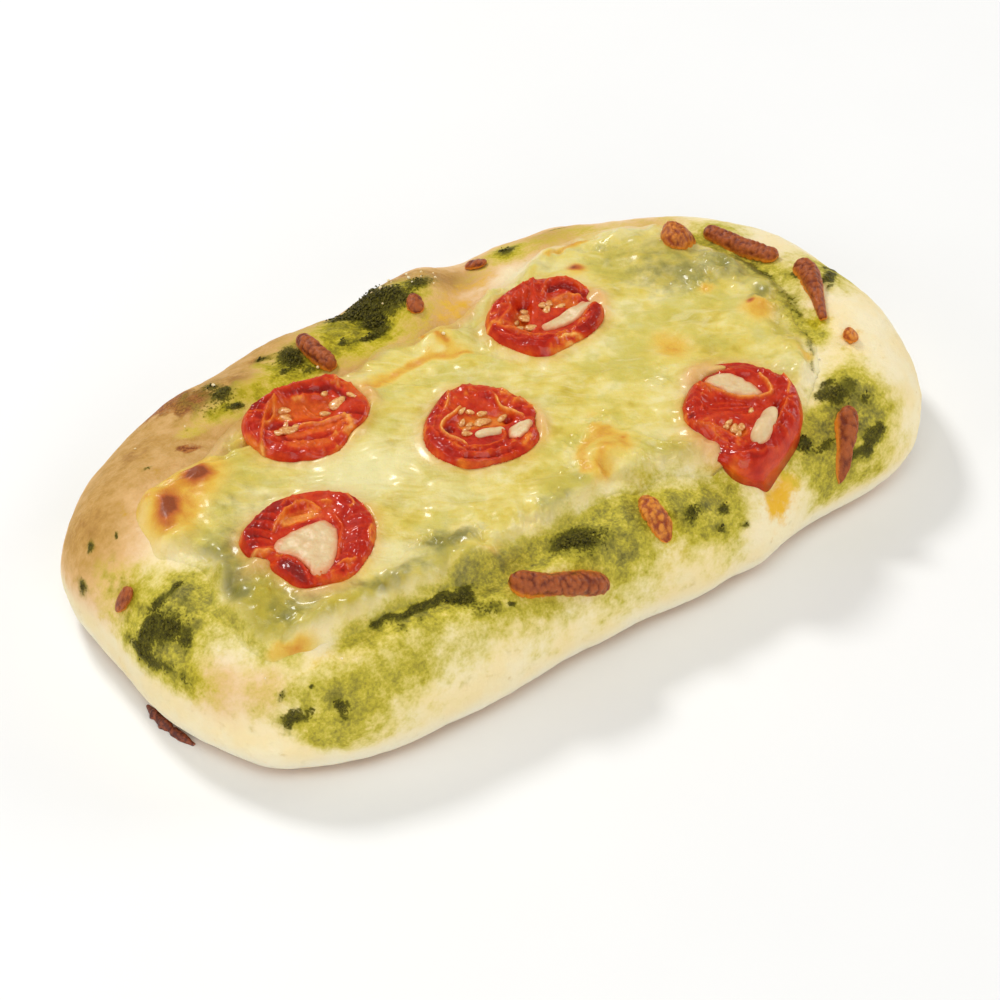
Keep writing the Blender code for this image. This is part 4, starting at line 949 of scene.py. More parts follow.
class Finish:
    """A material's node graph, written as sums."""

    def __init__(self, name):
        """Starts a material whose textures are measured in millimetres."""
        self.material = bpy.data.materials.new(name)
        self.material.use_nodes = True
        self.nodes = self.material.node_tree.nodes
        self.links = self.material.node_tree.links
        self.shader = self.nodes["Principled BSDF"]
        place = self.nodes.new("ShaderNodeTexCoord").outputs["Object"]
        scale = self.nodes.new("ShaderNodeVectorMath")
        scale.operation = "SCALE"
        scale.inputs["Scale"].default_value = 1 / METRES
        self.links.new(place, scale.inputs[0])
        self.millimetres = scale.outputs[0]

    def put(self, value, socket):
        """Links a socket to another, or gives it a value."""
        if isinstance(value, bpy.types.NodeSocket):
            self.links.new(value, socket)
        elif isinstance(value, tuple):
            socket.default_value = (*value, 1) if len(socket.default_value) == 4 else value
        else:
            socket.default_value = value

    def set(self, **inputs):
        """Fills the shader's own inputs."""
        for name, value in inputs.items():
            self.put(value, self.shader.inputs[name.replace("_", " ")])

    def node(self, kind, inputs, **settings):
        """A new node with its settings and the inputs given by name or number."""
        node = self.nodes.new("ShaderNode" + kind)
        for name, value in settings.items():
            setattr(node, name, value)
        for name, value in inputs.items():
            self.put(value, node.inputs[name])
        return node

    def mark(self, name):
        """A value stored in the mesh, or its colour."""
        node = self.node("Attribute", {}, attribute_name=name)
        return node.outputs["Color"] if name == "tint" else node.outputs["Fac"]

    def noise(self, size, detail=3.0, roughness=0.55, stretch=None, distortion=0.0):
        """Noise with grains of a size, drawn out along the cheese's flow where a stretch is given."""
        place = self.millimetres
        if stretch:
            turn, scale = (0, 0, np.radians(FLOW)), (stretch, 1, 1)
            inputs = {"Vector": place, "Rotation": turn, "Scale": scale}
            place = self.node("Mapping", inputs, vector_type="TEXTURE").outputs[0]
        inputs = {"Vector": place, "Scale": 1 / size, "Detail": detail, "Roughness": roughness}
        return self.node("TexNoise", inputs | {"Distortion": distortion}).outputs["Fac"]

    def math(self, operation, *values):
        """Arithmetic on sockets or numbers."""
        return self.node("Math", dict(enumerate(values)), operation=operation).outputs[0]

    def times(self, first, second):
        """The product of two values."""
        return self.math("MULTIPLY", first, second)

    def plus(self, first, second):
        """The sum of two values."""
        return self.math("ADD", first, second)

    def scaled(self, value, factor, base):
        """The base with a factor of a value added."""
        return self.math("MULTIPLY_ADD", value, factor, base)

    def swing(self, noise, factor, base=0.0):
        """The base moved up and down by noise."""
        return self.scaled(self.math("SUBTRACT", noise, 0.5), factor, base)

    def step(self, value, low, high):
        """0 below low, 1 above high, eased between."""
        inputs = {"Value": value, "From Min": low, "From Max": high}
        return self.node("MapRange", inputs, interpolation_type="SMOOTHSTEP").outputs["Result"]

    def broken(self, mark, spread, noise, low, high):
        """A mark whose edge is broken up by noise."""
        return self.step(self.swing(noise, spread, mark), low, high)

    def mix(self, share, first, second, blend="MIX"):
        """The first colour, or the second where the share is 1."""
        inputs = {"Factor": share, 6: first, 7: second}
        return self.node("Mix", inputs, data_type="RGBA", blend_type=blend).outputs[2]

    def over(self, base, share, strength, colour):
        """A colour laid over the base where the share says, at a strength."""
        return self.mix(self.times(share, strength), base, colour)

    def ramp(self, value, *stops):
        """Colours at places along a value."""
        node = self.node("ValToRGB", {"Fac": value})
        elements = node.color_ramp.elements
        while len(elements) < len(stops):
            elements.new(0.5)
        for element, (place, colour) in zip(elements, stops):
            element.position = place
            element.color = (*colour, 1)
        return node.outputs["Color"]

    def bump(self, height, distance, strength, before=None):
        """Relief from a height field, with its depth in millimetres."""
        inputs = {"Strength": strength, "Distance": distance * METRES, "Height": height}
        if before is not None:
            inputs["Normal"] = before
        return self.node("Bump", inputs).outputs[0]

    def flesh(self, weight, radius):
        """Light scattered below the surface, by distances in millimetres."""
        self.set(Subsurface_Weight=weight, Subsurface_Radius=radius, Subsurface_Scale=METRES)


CREAM = srgb(242, 228, 188)
CREAM_WARM = srgb(242, 222, 170)
FLOURY = srgb(240, 234, 212)
# Toasted crust colours, also laid as painted shade in the pinch's groove
TOAST_AND_FOLD_SHADE = srgb(128, 68, 32)
TOAST_AND_FOLD_SHADE_PALE = srgb(178, 116, 56)
HERB = srgb(34, 31, 5)
HERB_LIGHT = srgb(92, 86, 18)
HERB_JUICE = srgb(118, 112, 14)
OIL = srgb(232, 180, 46)
BAKED_RAMP = (
    (0, srgb(242, 222, 180)), (0.3, srgb(233, 198, 152)), (0.55, srgb(218, 175, 116)),
    (0.8, srgb(190, 146, 76)), (1, srgb(150, 100, 46)),
)
STAIN_RAMP = (
    (0, srgb(232, 211, 122)), (0.22, srgb(212, 194, 74)), (0.42, srgb(184, 170, 20)),
    (0.62, srgb(142, 132, 6)), (0.85, srgb(92, 88, 4)), (1, srgb(56, 56, 2)),
)
CHEESE_RAMP = (
    (0.36, srgb(192, 168, 52)), (0.44, srgb(212, 190, 80)), (0.52, srgb(222, 203, 108)),
    (0.62, srgb(230, 216, 148)),
)
CHEESE_GREEN = srgb(190, 180, 80)
CHEESE_WISP = srgb(233, 221, 164)
MILK = srgb(231, 222, 166)
GREEN_UNDER = srgb(104, 102, 38)
OLIVE_UNDER = srgb(166, 150, 22)
AMBER_RAMP = (
    (0, srgb(230, 208, 112)), (0.36, srgb(222, 180, 68)), (0.6, srgb(208, 142, 44)),
    (0.85, srgb(186, 98, 38)), (1, srgb(142, 68, 30)),
)
JUICE = srgb(226, 134, 66)
TOMATO_UNDER_CHEESE = srgb(222, 160, 118)
TOMATO_SHADE = srgb(232, 206, 196)
# Brown between the grains and on their tops: the difference is painted shade and light
BROWN = (srgb(108, 38, 10), srgb(172, 88, 36))
BROWN_AMBER = (srgb(164, 72, 18), srgb(220, 138, 44))
BROWN_FOOT = srgb(222, 134, 36)
BROWN_SPECK = srgb(214, 146, 84)
PALE = (srgb(220, 195, 148), srgb(213, 178, 128))
PALE_RIM = srgb(214, 112, 64)
SEED = (srgb(204, 128, 58), srgb(230, 182, 108))
BURNT = (srgb(82, 26, 14), srgb(150, 74, 40))
FLAKE = (srgb(40, 37, 6), srgb(100, 92, 24))
CRUMB = (srgb(240, 226, 186), srgb(220, 188, 128))


def crust_colour(f):
    """Dough colour, baked, toasted, oily and stained in parts, with painted shade in the pinch's groove, its
    herbs and the noise behind them.
    """
    wide, fine, grain = f.noise(9, 4), f.noise(2.4, 4, 0.5), f.noise(0.6, 3, 0.6)
    stained, herbs = f.mark("stained"), f.mark("herbs")
    mottle = f.swing(f.noise(5.5, 3), 0.8, f.swing(fine, 1.2, f.swing(grain, 0.3)))
    base = f.mix(f.step(wide, 0.35, 0.65), CREAM, CREAM_WARM)
    base = f.mix(f.mark("low"), base, FLOURY)
    baked = f.ramp(f.scaled(mottle, 0.35, f.mark("baked")), *BAKED_RAMP)
    base = f.mix(f.step(f.mark("baked"), 0.05, 0.45), base, baked)
    # Toasted crust, and painted shade in the pinch's groove
    toasted_and_fold_shade = f.step(f.plus(f.mark("toasted_and_fold_shade"), mottle), 0.35, 0.8)
    base = f.mix(toasted_and_fold_shade, base, f.mix(f.step(grain, 0.4, 0.62), TOAST_AND_FOLD_SHADE, TOAST_AND_FOLD_SHADE_PALE))
    base = f.mix(f.step(f.plus(f.mark("oily"), mottle), 0.15, 0.9), base, OIL)
    share = f.times(f.step(f.scaled(mottle, 0.6, stained), 0.0, 0.75), f.step(stained, 0.01, 0.25))
    specks = f.swing(grain, 0.45, f.times(mottle, 0.9))
    tone = f.plus(f.times(stained, 0.6), f.times(specks, stained))
    base = f.over(base, share, 0.92, f.ramp(tone, *STAIN_RAMP))
    base = f.over(base, f.broken(herbs, 0.8, fine, 0.05, 0.6), 0.75, HERB_JUICE)
    flecks = f.times(f.broken(herbs, 1.5, grain, 0.38, 0.66), 0.85)
    clumps = f.times(f.broken(herbs, 1.0, fine, 0.42, 0.7), 0.6)
    herb = f.times(f.math("MAXIMUM", flecks, clumps), f.step(herbs, 0.02, 0.3))
    return f.mix(herb, base, f.mix(f.step(grain, 0.42, 0.66), HERB, HERB_LIGHT)), herb, fine, grain


def crust_finish():
    """Baked dough: cream at the sides, gold at the back, stained and flecked with herb sauce."""
    f = Finish("crust")
    base, herb, fine, grain = crust_colour(f)
    relief = f.bump(f.scaled(grain, 0.7, fine), 0.4, 0.6)
    relief = f.bump(herb, 0.25, 0.7, relief)
    f.set(Base_Color=base, Normal=relief, Roughness=f.scaled(grain, 0.25, 0.45), Specular_IOR_Level=0.12)
    f.flesh(0.1, (1.6, 1.0, 0.5))
    return f.material


def cheese_colour(f, fine, drawn):
    """Cheese before it browns: drawn out in pale and yellow, whitish in parts, green over the herb sauce."""
    tone = f.scaled(drawn, 0.16, f.scaled(f.noise(10, 3), 0.6, f.times(fine, 0.24)))
    base = f.over(f.ramp(tone, *CHEESE_RAMP), f.step(f.noise(8, 4), 0.46, 0.6), 0.5, CHEESE_GREEN)
    wisps = f.step(f.noise(5.0, 5, 0.6, stretch=1.8, distortion=1.0), 0.5, 0.7)
    base = f.over(base, wisps, 0.45, CHEESE_WISP)
    base = f.over(base, f.broken(f.mark("milky"), 0.9, drawn, 0.15, 1.0), 0.75, MILK)
    base = f.over(base, f.broken(f.mark("olive"), 0.9, fine, 0.1, 0.9), 0.8, OLIVE_UNDER)
    return f.over(base, f.broken(f.mark("green"), 0.9, fine, 0.1, 0.95), 0.85, GREEN_UNDER)


def cheese_finish():
    """Melted cheese: pale yellow, greener where it is thin over herb sauce, amber and brown in places."""
    f = Finish("melted_cheese")
    under, _, fine, grain = crust_colour(f)
    drawn = f.noise(2.6, 4, 0.6, stretch=3.2, distortion=1.4)
    amber, thin = f.mark("amber"), f.broken(f.mark("thin"), 0.6, fine, 0.15, 0.9)
    base = f.over(cheese_colour(f, fine, drawn), thin, 0.9, under)
    browned = f.swing(fine, 0.5, f.math("MAXIMUM", f.times(amber, 0.55), f.mark("scorched")))
    base = f.mix(f.step(amber, 0.08, 0.7), base, f.ramp(browned, *AMBER_RAMP))
    base = f.over(base, f.mark("juice"), 0.4, JUICE)
    base = f.over(base, f.mark("covered"), 0.4, TOMATO_UNDER_CHEESE)
    relief = f.bump(f.scaled(drawn, 0.5, fine), 0.5, 0.45)
    relief = f.bump(f.plus(grain, f.noise(0.35, 2)), 0.15, 0.5, relief)
    f.set(Base_Color=base, Normal=relief, Roughness=f.scaled(fine, 0.3, 0.3), Specular_IOR_Level=0.25)
    f.set(Coat_Weight=f.scaled(f.math("MAXIMUM", thin, amber), -0.4, 0.45), Coat_Roughness=0.2)
    f.flesh(0.2, (2.2, 1.4, 0.5))
    return f.material


def tomato_finish():
    """Moist dried tomato flesh, coloured by its own tint, which carries painted highlights and shade."""
    f = Finish("dried_tomato")
    fine, grain = f.noise(1.4, 4, 0.6), f.noise(0.45, 3, 0.6)
    dark = f.mix(1.0, f.mark("tint"), TOMATO_SHADE, "MULTIPLY")
    base = f.mix(f.step(fine, 0.35, 0.65), dark, f.mark("tint"))
    relief = f.bump(f.scaled(grain, 0.4, fine), 0.35, 0.5)
    f.set(Base_Color=base, Normal=relief, Roughness=f.scaled(fine, 0.25, 0.3), Specular_IOR_Level=0.1)
    f.set(Coat_Weight=0.34, Coat_Roughness=0.1)
    f.flesh(0.25, (1.6, 0.5, 0.2))
    return f.material


def browned_finish():
    """Browned cheese: reddish brown, lighter on the tops of its grains and darker between them as painted
    light and shade, with an orange foot and fine pale specks.
    """
    f = Finish("browned_cheese")
    fine, grain = f.noise(0.9, 4, 0.65), f.noise(0.3, 3, 0.6)
    # Lighter on the tops of the grains and darker between them: painted light and shade
    tone = f.swing(fine, 0.8, f.mark("grain"))
    base = f.mix(f.step(tone, -0.1, 1.1), *BROWN)
    amber = f.mix(f.step(tone, 0.2, 1.0), *BROWN_AMBER)
    base = f.mix(f.broken(f.mark("warm"), 1.2, fine, 0.3, 0.9), base, amber)
    base = f.over(base, f.broken(f.mark("rim"), 0.6, fine, 0.35, 1.0), 0.9, BROWN_FOOT)
    base = f.over(base, f.step(grain, 0.6, 0.72), 0.3, BROWN_SPECK)
    relief = f.bump(f.scaled(grain, 0.5, fine), 0.35, 0.6)
    f.set(Base_Color=base, Normal=relief, Roughness=f.scaled(fine, 0.3, 0.2), Specular_IOR_Level=0.28)
    f.flesh(0.1, (0.8, 0.4, 0.2))
    return f.material


def pale_finish():
    """Unbrowned cheese on the tomatoes, pinkish at its edges."""
    f = Finish("pale_cheese")
    fine, grain = f.noise(1.6, 4, 0.6), f.noise(0.5, 3, 0.6)
    base = f.mix(f.step(fine, 0.3, 0.75), *PALE)
    base = f.over(base, f.broken(f.mark("rim"), 0.5, fine, 0.2, 1.0), 0.75, PALE_RIM)
    relief = f.bump(f.scaled(grain, 0.5, fine), 0.25, 0.4)
    f.set(Base_Color=base, Normal=relief, Roughness=f.scaled(grain, 0.2, 0.3), Specular_IOR_Level=0.45)
    f.flesh(0.35, (1.6, 0.9, 0.5))
    return f.material


def two_tone_finish(name, noise, tones, edges=(0.35, 0.65), relief=None, flesh=None, **inputs):
    """A small thing in two tones, with relief and scattered light where given."""
    f = Finish(name)
    fine = f.noise(*noise)
    f.set(Base_Color=f.mix(f.step(fine, *edges), *tones), **inputs)
    if relief:
        f.set(Normal=f.bump(fine, *relief))
    if flesh:
        f.flesh(*flesh)
    return f.material


# Pieces


def loaf_marks(x, y, z):
    """What the crust looks like at each of its points."""
    upper = step(z, 9, 18)
    places = wandering((x, y, z), 51, 3, 0.8)
    back = step(y, -5, 25) * step(z, 8, 22) * step(x, 40, 0)
    baked = np.maximum(field(*places, BAKED) * step(z, 6, 18), 0.75 * back)
    stain_foot = 5 + 6 * step(x, -70, -80)
    stained = joined(field(*places, STAINED, 1.3), drawn_lines(*places, STAIN_LINES))
    herbs = joined(field(*places, HERBS), drawn_lines(*places, HERB_LINES))
    return {
        "low": step(z, 9.5, 1.5),
        "baked": np.maximum(baked, 0.55 * step(z, 3.5, 0.5)),
        "toasted_and_fold_shade": field(*places, TOASTED_AND_FOLD_SHADE) * upper,
        "stained": stained * step(z, stain_foot, stain_foot + 6),
        "herbs": herbs * step(z, 11, 17),
        "oily": field(*places, OILY) * upper,
    }


LOAF_COLUMNS = 900
LOAF_TOP_RINGS = 44
LOAF_SIDE_RINGS = 26
HIDDEN_SHARES = (0.3, 0.6, 0.8, 0.9)
BAND_START = 0.95
# Random relief of the crust and of its herbs: seed, cell size and height
CRUST_RELIEF = ((61, 8, 0.40), (62, 2.4, 0.16), (63, 0.9, 0.07))
HERB_RELIEF = (64, 0.8, 0.35)
HERB_HEIGHT = 0.15
CRUST_SWELL = 0.9
CRUST_SUNK = 0.42


def loaf_rings():
    """Rings over the top, finest outside the cheese, then down the side to the flat base."""
    angle = even_directions(LOAF_COLUMNS)
    cheese, outline = cheese_radius(angle), outline_radius(angle)
    slant = lean(angle, outline_radius)
    border = outline - SHOULDER * (1 - np.cos(np.radians(TOP_TURN))) / slant
    start = cheese * BAND_START
    radii = [cheese * share for share in HIDDEN_SHARES]
    radii += [start + (border - start) * share for share in np.linspace(0, 1, LOAF_TOP_RINGS)]
    rings = []
    for radius in radii:
        x, y = places_at(radius, angle)
        rings.append(rows(x, y, bread_top(x, y)))
    for row in range(1, LOAF_SIDE_RINGS + 1):
        turn = np.radians(TOP_TURN - (TOP_TURN + 90) * row / LOAF_SIDE_RINGS)
        tuck = (SHOULDER if turn > 0 else FOOT) * (1 - np.cos(turn))
        x, y = places_at(outline - tuck / slant, angle)
        rings.append(rows(x, y, bread_top(x, y) if turn >= 0 else WIDEST_HEIGHT * (1 + np.sin(turn))))
    return rings


def loaf_piece(finish):
    """The bread, with the grain of its crust."""
    points, faces = ring_sheet(loaf_rings())
    places = points.T.copy()
    x, y, z = places
    marks = loaf_marks(x, y, z)
    rough = waves(places, *CRUST_RELIEF) + marks["herbs"] * (HERB_HEIGHT + waves(places, HERB_RELIEF))
    on_top = step(z, 14, 22)
    swell = CRUST_SWELL * rough * step(z, 0, 3) - CRUST_SUNK
    outwards = np.stack([x, y], axis=1) / np.maximum(np.hypot(x, y), 1)[:, None]
    points[:, :2] += outwards * (swell * (1 - on_top))[:, None]
    points[:, 2] += swell * on_top
    return add_piece("loaf", points, faces, finish, marks)


CHEESE_LATTICE = (400, 220)
UNDERSIDE_SHARES = (0.93, 0.8, 0.6, 0.4, 0.2)
UNDER_BREAD = 0.5
JUICE_REACH = 0.16
THIN_REACH = 3.6


def cheese_marks(x, y):
    """What the cheese looks like at each of its points, with the crust's marks for where it is thin."""
    places = wandering((x, y), 53, 2.5, 0.6)
    nearest = np.min([tomato_share(x, y, tomato)[0] for tomato in TOMATOES.values()], axis=0)
    juice = peak(np.maximum(nearest, 0.98), 0.98, JUICE_REACH)
    border = np.maximum(inset(x, y, ragged_radius), 0)
    return {
        "green": field(*places, UNDERLYING_GREEN, 1.15),
        "olive": field(*places, OLIVE, 1.2),
        "milky": field(*places, MILKY, 1.2),
        "amber": joined(field(*places, AMBER, 1.1), drawn_lines(*places, AMBER_LINES)),
        "scorched": joined(field(x, y, SCORCHED), drawn_lines(x, y, SCORCHED_LINES)),
        "covered": field(x, y, COVERED),
        "juice": juice * (0.75 + waves((x, y), (55, 3, 0.25))),
        "thin": peak(border, 0, THIN_REACH),
    } | loaf_marks(x, y, bread_top(x, y))


def cheese_lattice():
    """Places of a lattice over the cheese, its quads, and the numbers of the points round its border."""
    u, v = np.meshgrid(*(np.linspace(-1, 1, count + 1) for count in CHEESE_LATTICE), indexing="ij")
    number = np.arange(u.size).reshape(u.shape)
    corners = number[:-1, :-1], number[1:, :-1], number[1:, 1:], number[:-1, 1:]
    border = np.concatenate([number[:-1, 0], number[-1, :-1], number[:0:-1, -1], number[0, :0:-1]])
    u, v = u.ravel(), v.ravel()
    angle = np.arctan2(v * HALF_WIDTH, u * HALF_LENGTH)
    x, y = places_at(ragged_radius(angle) * np.maximum(np.abs(u), np.abs(v)), angle)
    return x, y, np.stack(corners, axis=-1).reshape(-1, 4), border


def cheese_piece(finish):
    """The melted cheese: a fine lattice on top, closed by a coarser underside just inside the bread."""
    x, y, quads, border = cheese_lattice()
    points = [rows(x, y, cheese_top(x, y))]
    faces, loop = [quads], border
    for i, share in enumerate(UNDERSIDE_SHARES):
        ring_x, ring_y = x[border] * share, y[border] * share
        points.append(rows(ring_x, ring_y, bread_top(ring_x, ring_y) - UNDER_BREAD))
        next_loop = np.arange(len(border)) + len(x) + i * len(border)
        faces.append(strip_faces(loop, next_loop))
        loop = next_loop
    middle = np.zeros(1)
    points.append(rows(middle, middle, bread_top(middle, middle) - UNDER_BREAD))
    faces.append(turned_over(fan_faces(loop[-1] + 1, loop)))
    points = np.concatenate(points)
    return add_piece("cheese_bed", points, faces, finish, cheese_marks(points[:, 0], points[:, 1]))


TOMATO_RINGS = 90
TOMATO_SECTORS = 150
TOMATO_UNDERSIDE = (1.0, 0.9, 0.5, 0.1)
HUES = (
    (0, srgb(112, 14, 2)), (0.25, srgb(186, 33, 3)), (0.5, srgb(208, 66, 18)), (0.75, srgb(226, 120, 30)),
    (1, srgb(242, 184, 96)),
)


def tomato_colour(hue):
    """Deep red, red skin, paler flesh, orange pulp and pale edges along the hue, the pale edges being a
    painted rim light.
    """
    where, colours = zip(*HUES)
    return np.stack([np.interp(hue, where, channel) for channel in zip(*colours)], axis=1)


def tomato_piece(name, tomato, finish):
    """One tomato half: its cut face as fine rings and a plain underside sunk in the cheese."""
    sector = np.arange(TOMATO_SECTORS) * 2 * np.pi / TOMATO_SECTORS
    reach = around(sector, tuple((30 * i, radius) for i, radius in enumerate(tomato["radii"])))
    direction = sector + np.radians(TOMATO_AXIS)
    rings = []
    for share in np.linspace(0.02, 1.03, TOMATO_RINGS):
        x, y = places_at(share * reach, direction, tomato["centre"])
        rings.append(rows(x, y, cheese_plane(x, y) + tomato_form(x, y, tomato)[0]))
    for share in TOMATO_UNDERSIDE:
        x, y = places_at(share * reach, direction, tomato["centre"])
        below = cheese_plane(x, y) - 1.2 - 1.0 * (1 - share**2)
        rings.append(rows(x, y, np.minimum(below, open_top(x, y) - 0.5)))
    points, faces = ring_sheet(rings)
    x, y, _ = points.T
    colour = tomato_colour(tomato_form(x, y, tomato)[1])
    return add_piece("half_" + name, points, faces, finish, colour=colour)


SEED_SLIMNESS = 0.58
SEED_THICKNESS = 0.45
SEED_TAPER = 0.35
SEED_RINGS = 8
SEED_SECTORS = 10


def seeds_piece(finish):
    """Tomato seeds: small flat drops lying in the pulp."""
    rng = np.random.default_rng(5)
    angle = np.arange(SEED_SECTORS) * 2 * np.pi / SEED_SECTORS
    parts = []
    for tomato in TOMATOES.values():
        for x, y, turn, length in tomato["seeds"]:
            slimness = SEED_SLIMNESS * rng.uniform(0.8, 1.1)
            tilt = rng.uniform(-0.3, 0.3)
            place = np.array([x]), np.array([y])
            base = (cheese_plane(*place) + tomato_form(*place, tomato)[0])[0] + 0.1
            rings = []
            for i in range(SEED_RINGS - 1, 0, -1):
                along = -np.cos(np.pi * i / SEED_RINGS)
                width = np.sin(np.pi * i / SEED_RINGS) * (1 - SEED_TAPER * along)
                a = along * length / 2
                b = width * np.cos(angle) * slimness * length / 2
                dx, dy = turned(a, b, (0, 0), -turn)
                rings.append(rows(x + dx, y + dy, base + width * np.sin(angle) * SEED_THICKNESS + a * tilt))
            parts.append(ring_sheet(rings))
    return add_piece("tomato_seeds", *gathered(parts), finish)


# Browned cheese: points with their widths, height, and how much of it is amber
BROWNED = {
    "browned_strand_front": (((-27, -43.2, 4.2), (-23, -44.6, 5), (-19.3, -46.1, 4.2), (-15.4, -47.1, 5),
        (-11.4, -48.1, 4.6), (-7.6, -48.9, 4.4)), 2.6, 0.0),
    "browned_strand_right": (((57.4, -41.4, 3.4), (55.4, -43.8, 4.6), (53.1, -45.8, 3.2),
        (50.4, -48.2, 2.8)), 2.3, 0.1),
    "browned_blister_front": (((7.8, -39.1, 3), (7.1, -43.2, 4.6), (7.5, -45.9, 4.6),
        (7.5, -48.2, 2.4)), 1.4, 0.75),
    "browned_lump_back": (((56.6, 17.4, 6.4), (59.6, 16.6, 7.6), (64.4, 16.6, 5)), 2.2, 0.6),
    "browned_strand_back": (((67.7, 17.2, 3), (69.8, 11.8, 3.8), (71.9, 5.8, 3.8),
        (73.7, 0.4, 3.4)), 2.0, 0.0),
    "browned_strand_corner": (((75, -4.4, 3.6), (74.1, -9, 4.6), (71.7, -14.1, 3.2), (69.8, -17.8, 2.2),
        (68, -21.2, 1.6)), 2.2, 0.2),
    "browned_bead_right": (((70.6, -29.1, 3), (69, -28.1, 4), (67.8, -27.4, 3)), 1.6, 0.9),
    "browned_strand_left": (((-20.8, 37, 3), (-20.6, 32.4, 3.8), (-20.3, 28.6, 3.6),
        (-20.1, 25.4, 2.8)), 2.2, 0.1),
    "browned_bead_back": (((4.2, 32.6, 2.8), (3.3, 30.3, 3.4), (2.5, 28.3, 2.8)), 1.4, 0.1),
    "browned_bead_left": (((-87.4, -0.2, 3.6), (-85.8, -1.2, 4.6), (-84.2, -2.2, 3.6)), 1.4, 0.3),
    "browned_strand_top": (((23.7, 41.4, 2.4), (24.6, 39, 2.8), (25.5, 36.6, 2.2)), 1.5, 0.2),
}
# White strands on the tomatoes: points with their widths, and height
PALE_STRANDS = {
    "cheese_strand_3": (((-11, -10.3, 2), (-8.8, -10.7, 2.4), (-6.8, -11.5, 2.2), (-4.9, -12, 1.8)), 1.2),
    "cheese_strand_6": (((40.4, -38, 3), (37.4, -40.3, 3.8), (34.4, -42.4, 3.8), (31.9, -43.9, 3)), 2.3),
}
# Flat white pieces: middle, outline anticlockwise round it, and thickness
PALE_SHEETS = {
    "cheese_strand_1": ((-53.5, -17.5), ((-60.8, -14.2), (-61.3, -16), (-60.3, -17.7), (-58.4, -18.6),
        (-57.7, -20.1), (-58.5, -22.8), (-59.4, -25.2), (-59.6, -27.1), (-58, -27.3), (-55.9, -27.3),
        (-53.5, -25.3), (-50.5, -21.7), (-48, -18.7), (-46.7, -15.8), (-47.1, -13.1), (-48.7, -11.9),
        (-51.3, -12.5), (-52.9, -12.4), (-55.8, -11.9), (-58.7, -12.5), (-60, -13.2)), 1.0),
    "cheese_strand_2": ((25.8, 8.9), ((18.6, 8.4), (19.4, 7.1), (23.1, 6.4), (26.9, 6.1), (29.6, 7.2),
        (32.7, 8.4), (33.3, 10.4), (30.9, 11.5), (28, 10.8), (24.4, 9.7), (21.6, 9.6), (19.5, 9.9)), 0.9),
    "cheese_strand_4": ((-2.8, -14.4), ((-6.2, -14.9), (-5.6, -16.1), (-3.8, -16.7), (-2.2, -16.1),
        (-0.5, -15), (1, -13.5), (-1, -12.9), (-3.3, -11.9), (-4.8, -12.5)), 0.9),
    "cheese_strand_5": ((38.4, -28.6), ((34.4, -25.5), (35.5, -27.2), (36.1, -30), (37.8, -32.2),
        (39.9, -34), (41.8, -34.5), (42.5, -32.8), (42.5, -29.9), (41.4, -27.3), (40, -24.6),
        (36.5, -22.6), (34.4, -23.8)), 1.2),
}

STRAND_RINGS = 90
STRAND_SECTORS = 40
STRAND_BLUNTNESS = 0.55
SLOPE_TAPS = 13
GRAIN_SIZES = (1.0, 0.55)


def strand_middle(points):
    """Points along the middle of a strand, its widths, headings, places from 0 to 1, and blunt ends."""
    line = smooth_line(points, STRAND_RINGS + 2, 10)
    heading = np.gradient(line[:, :2], axis=0)
    heading = (heading / np.linalg.norm(heading, axis=1)[:, None])[1:-1]
    cx, cy, width = (line[1:-1, i : i + 1] for i in range(3))
    along = np.linspace(0, 1, STRAND_RINGS + 2)[1:-1, None]
    run = np.linalg.norm(np.diff(line[:, :2], axis=0), axis=1).sum()
    blunt = dome(np.minimum(along, 1 - along) * run / (STRAND_BLUNTNESS * width))
    return cx, cy, width, heading[:, :1], heading[:, 1:], along, blunt


def strand_swell(seed, x, y, thick, lumps):
    """How far a strand's grains swell it, and the coarse grains themselves."""
    coarse, fine = (grains(seed + 5 * i, x / size, y / size, thick / size)
                    for i, size in enumerate(GRAIN_SIZES))
    return 1 + lumps * (coarse + 0.35 * fine + waves((x, y, thick), (seed + 9, 3, 0.5)) - 0.55), coarse


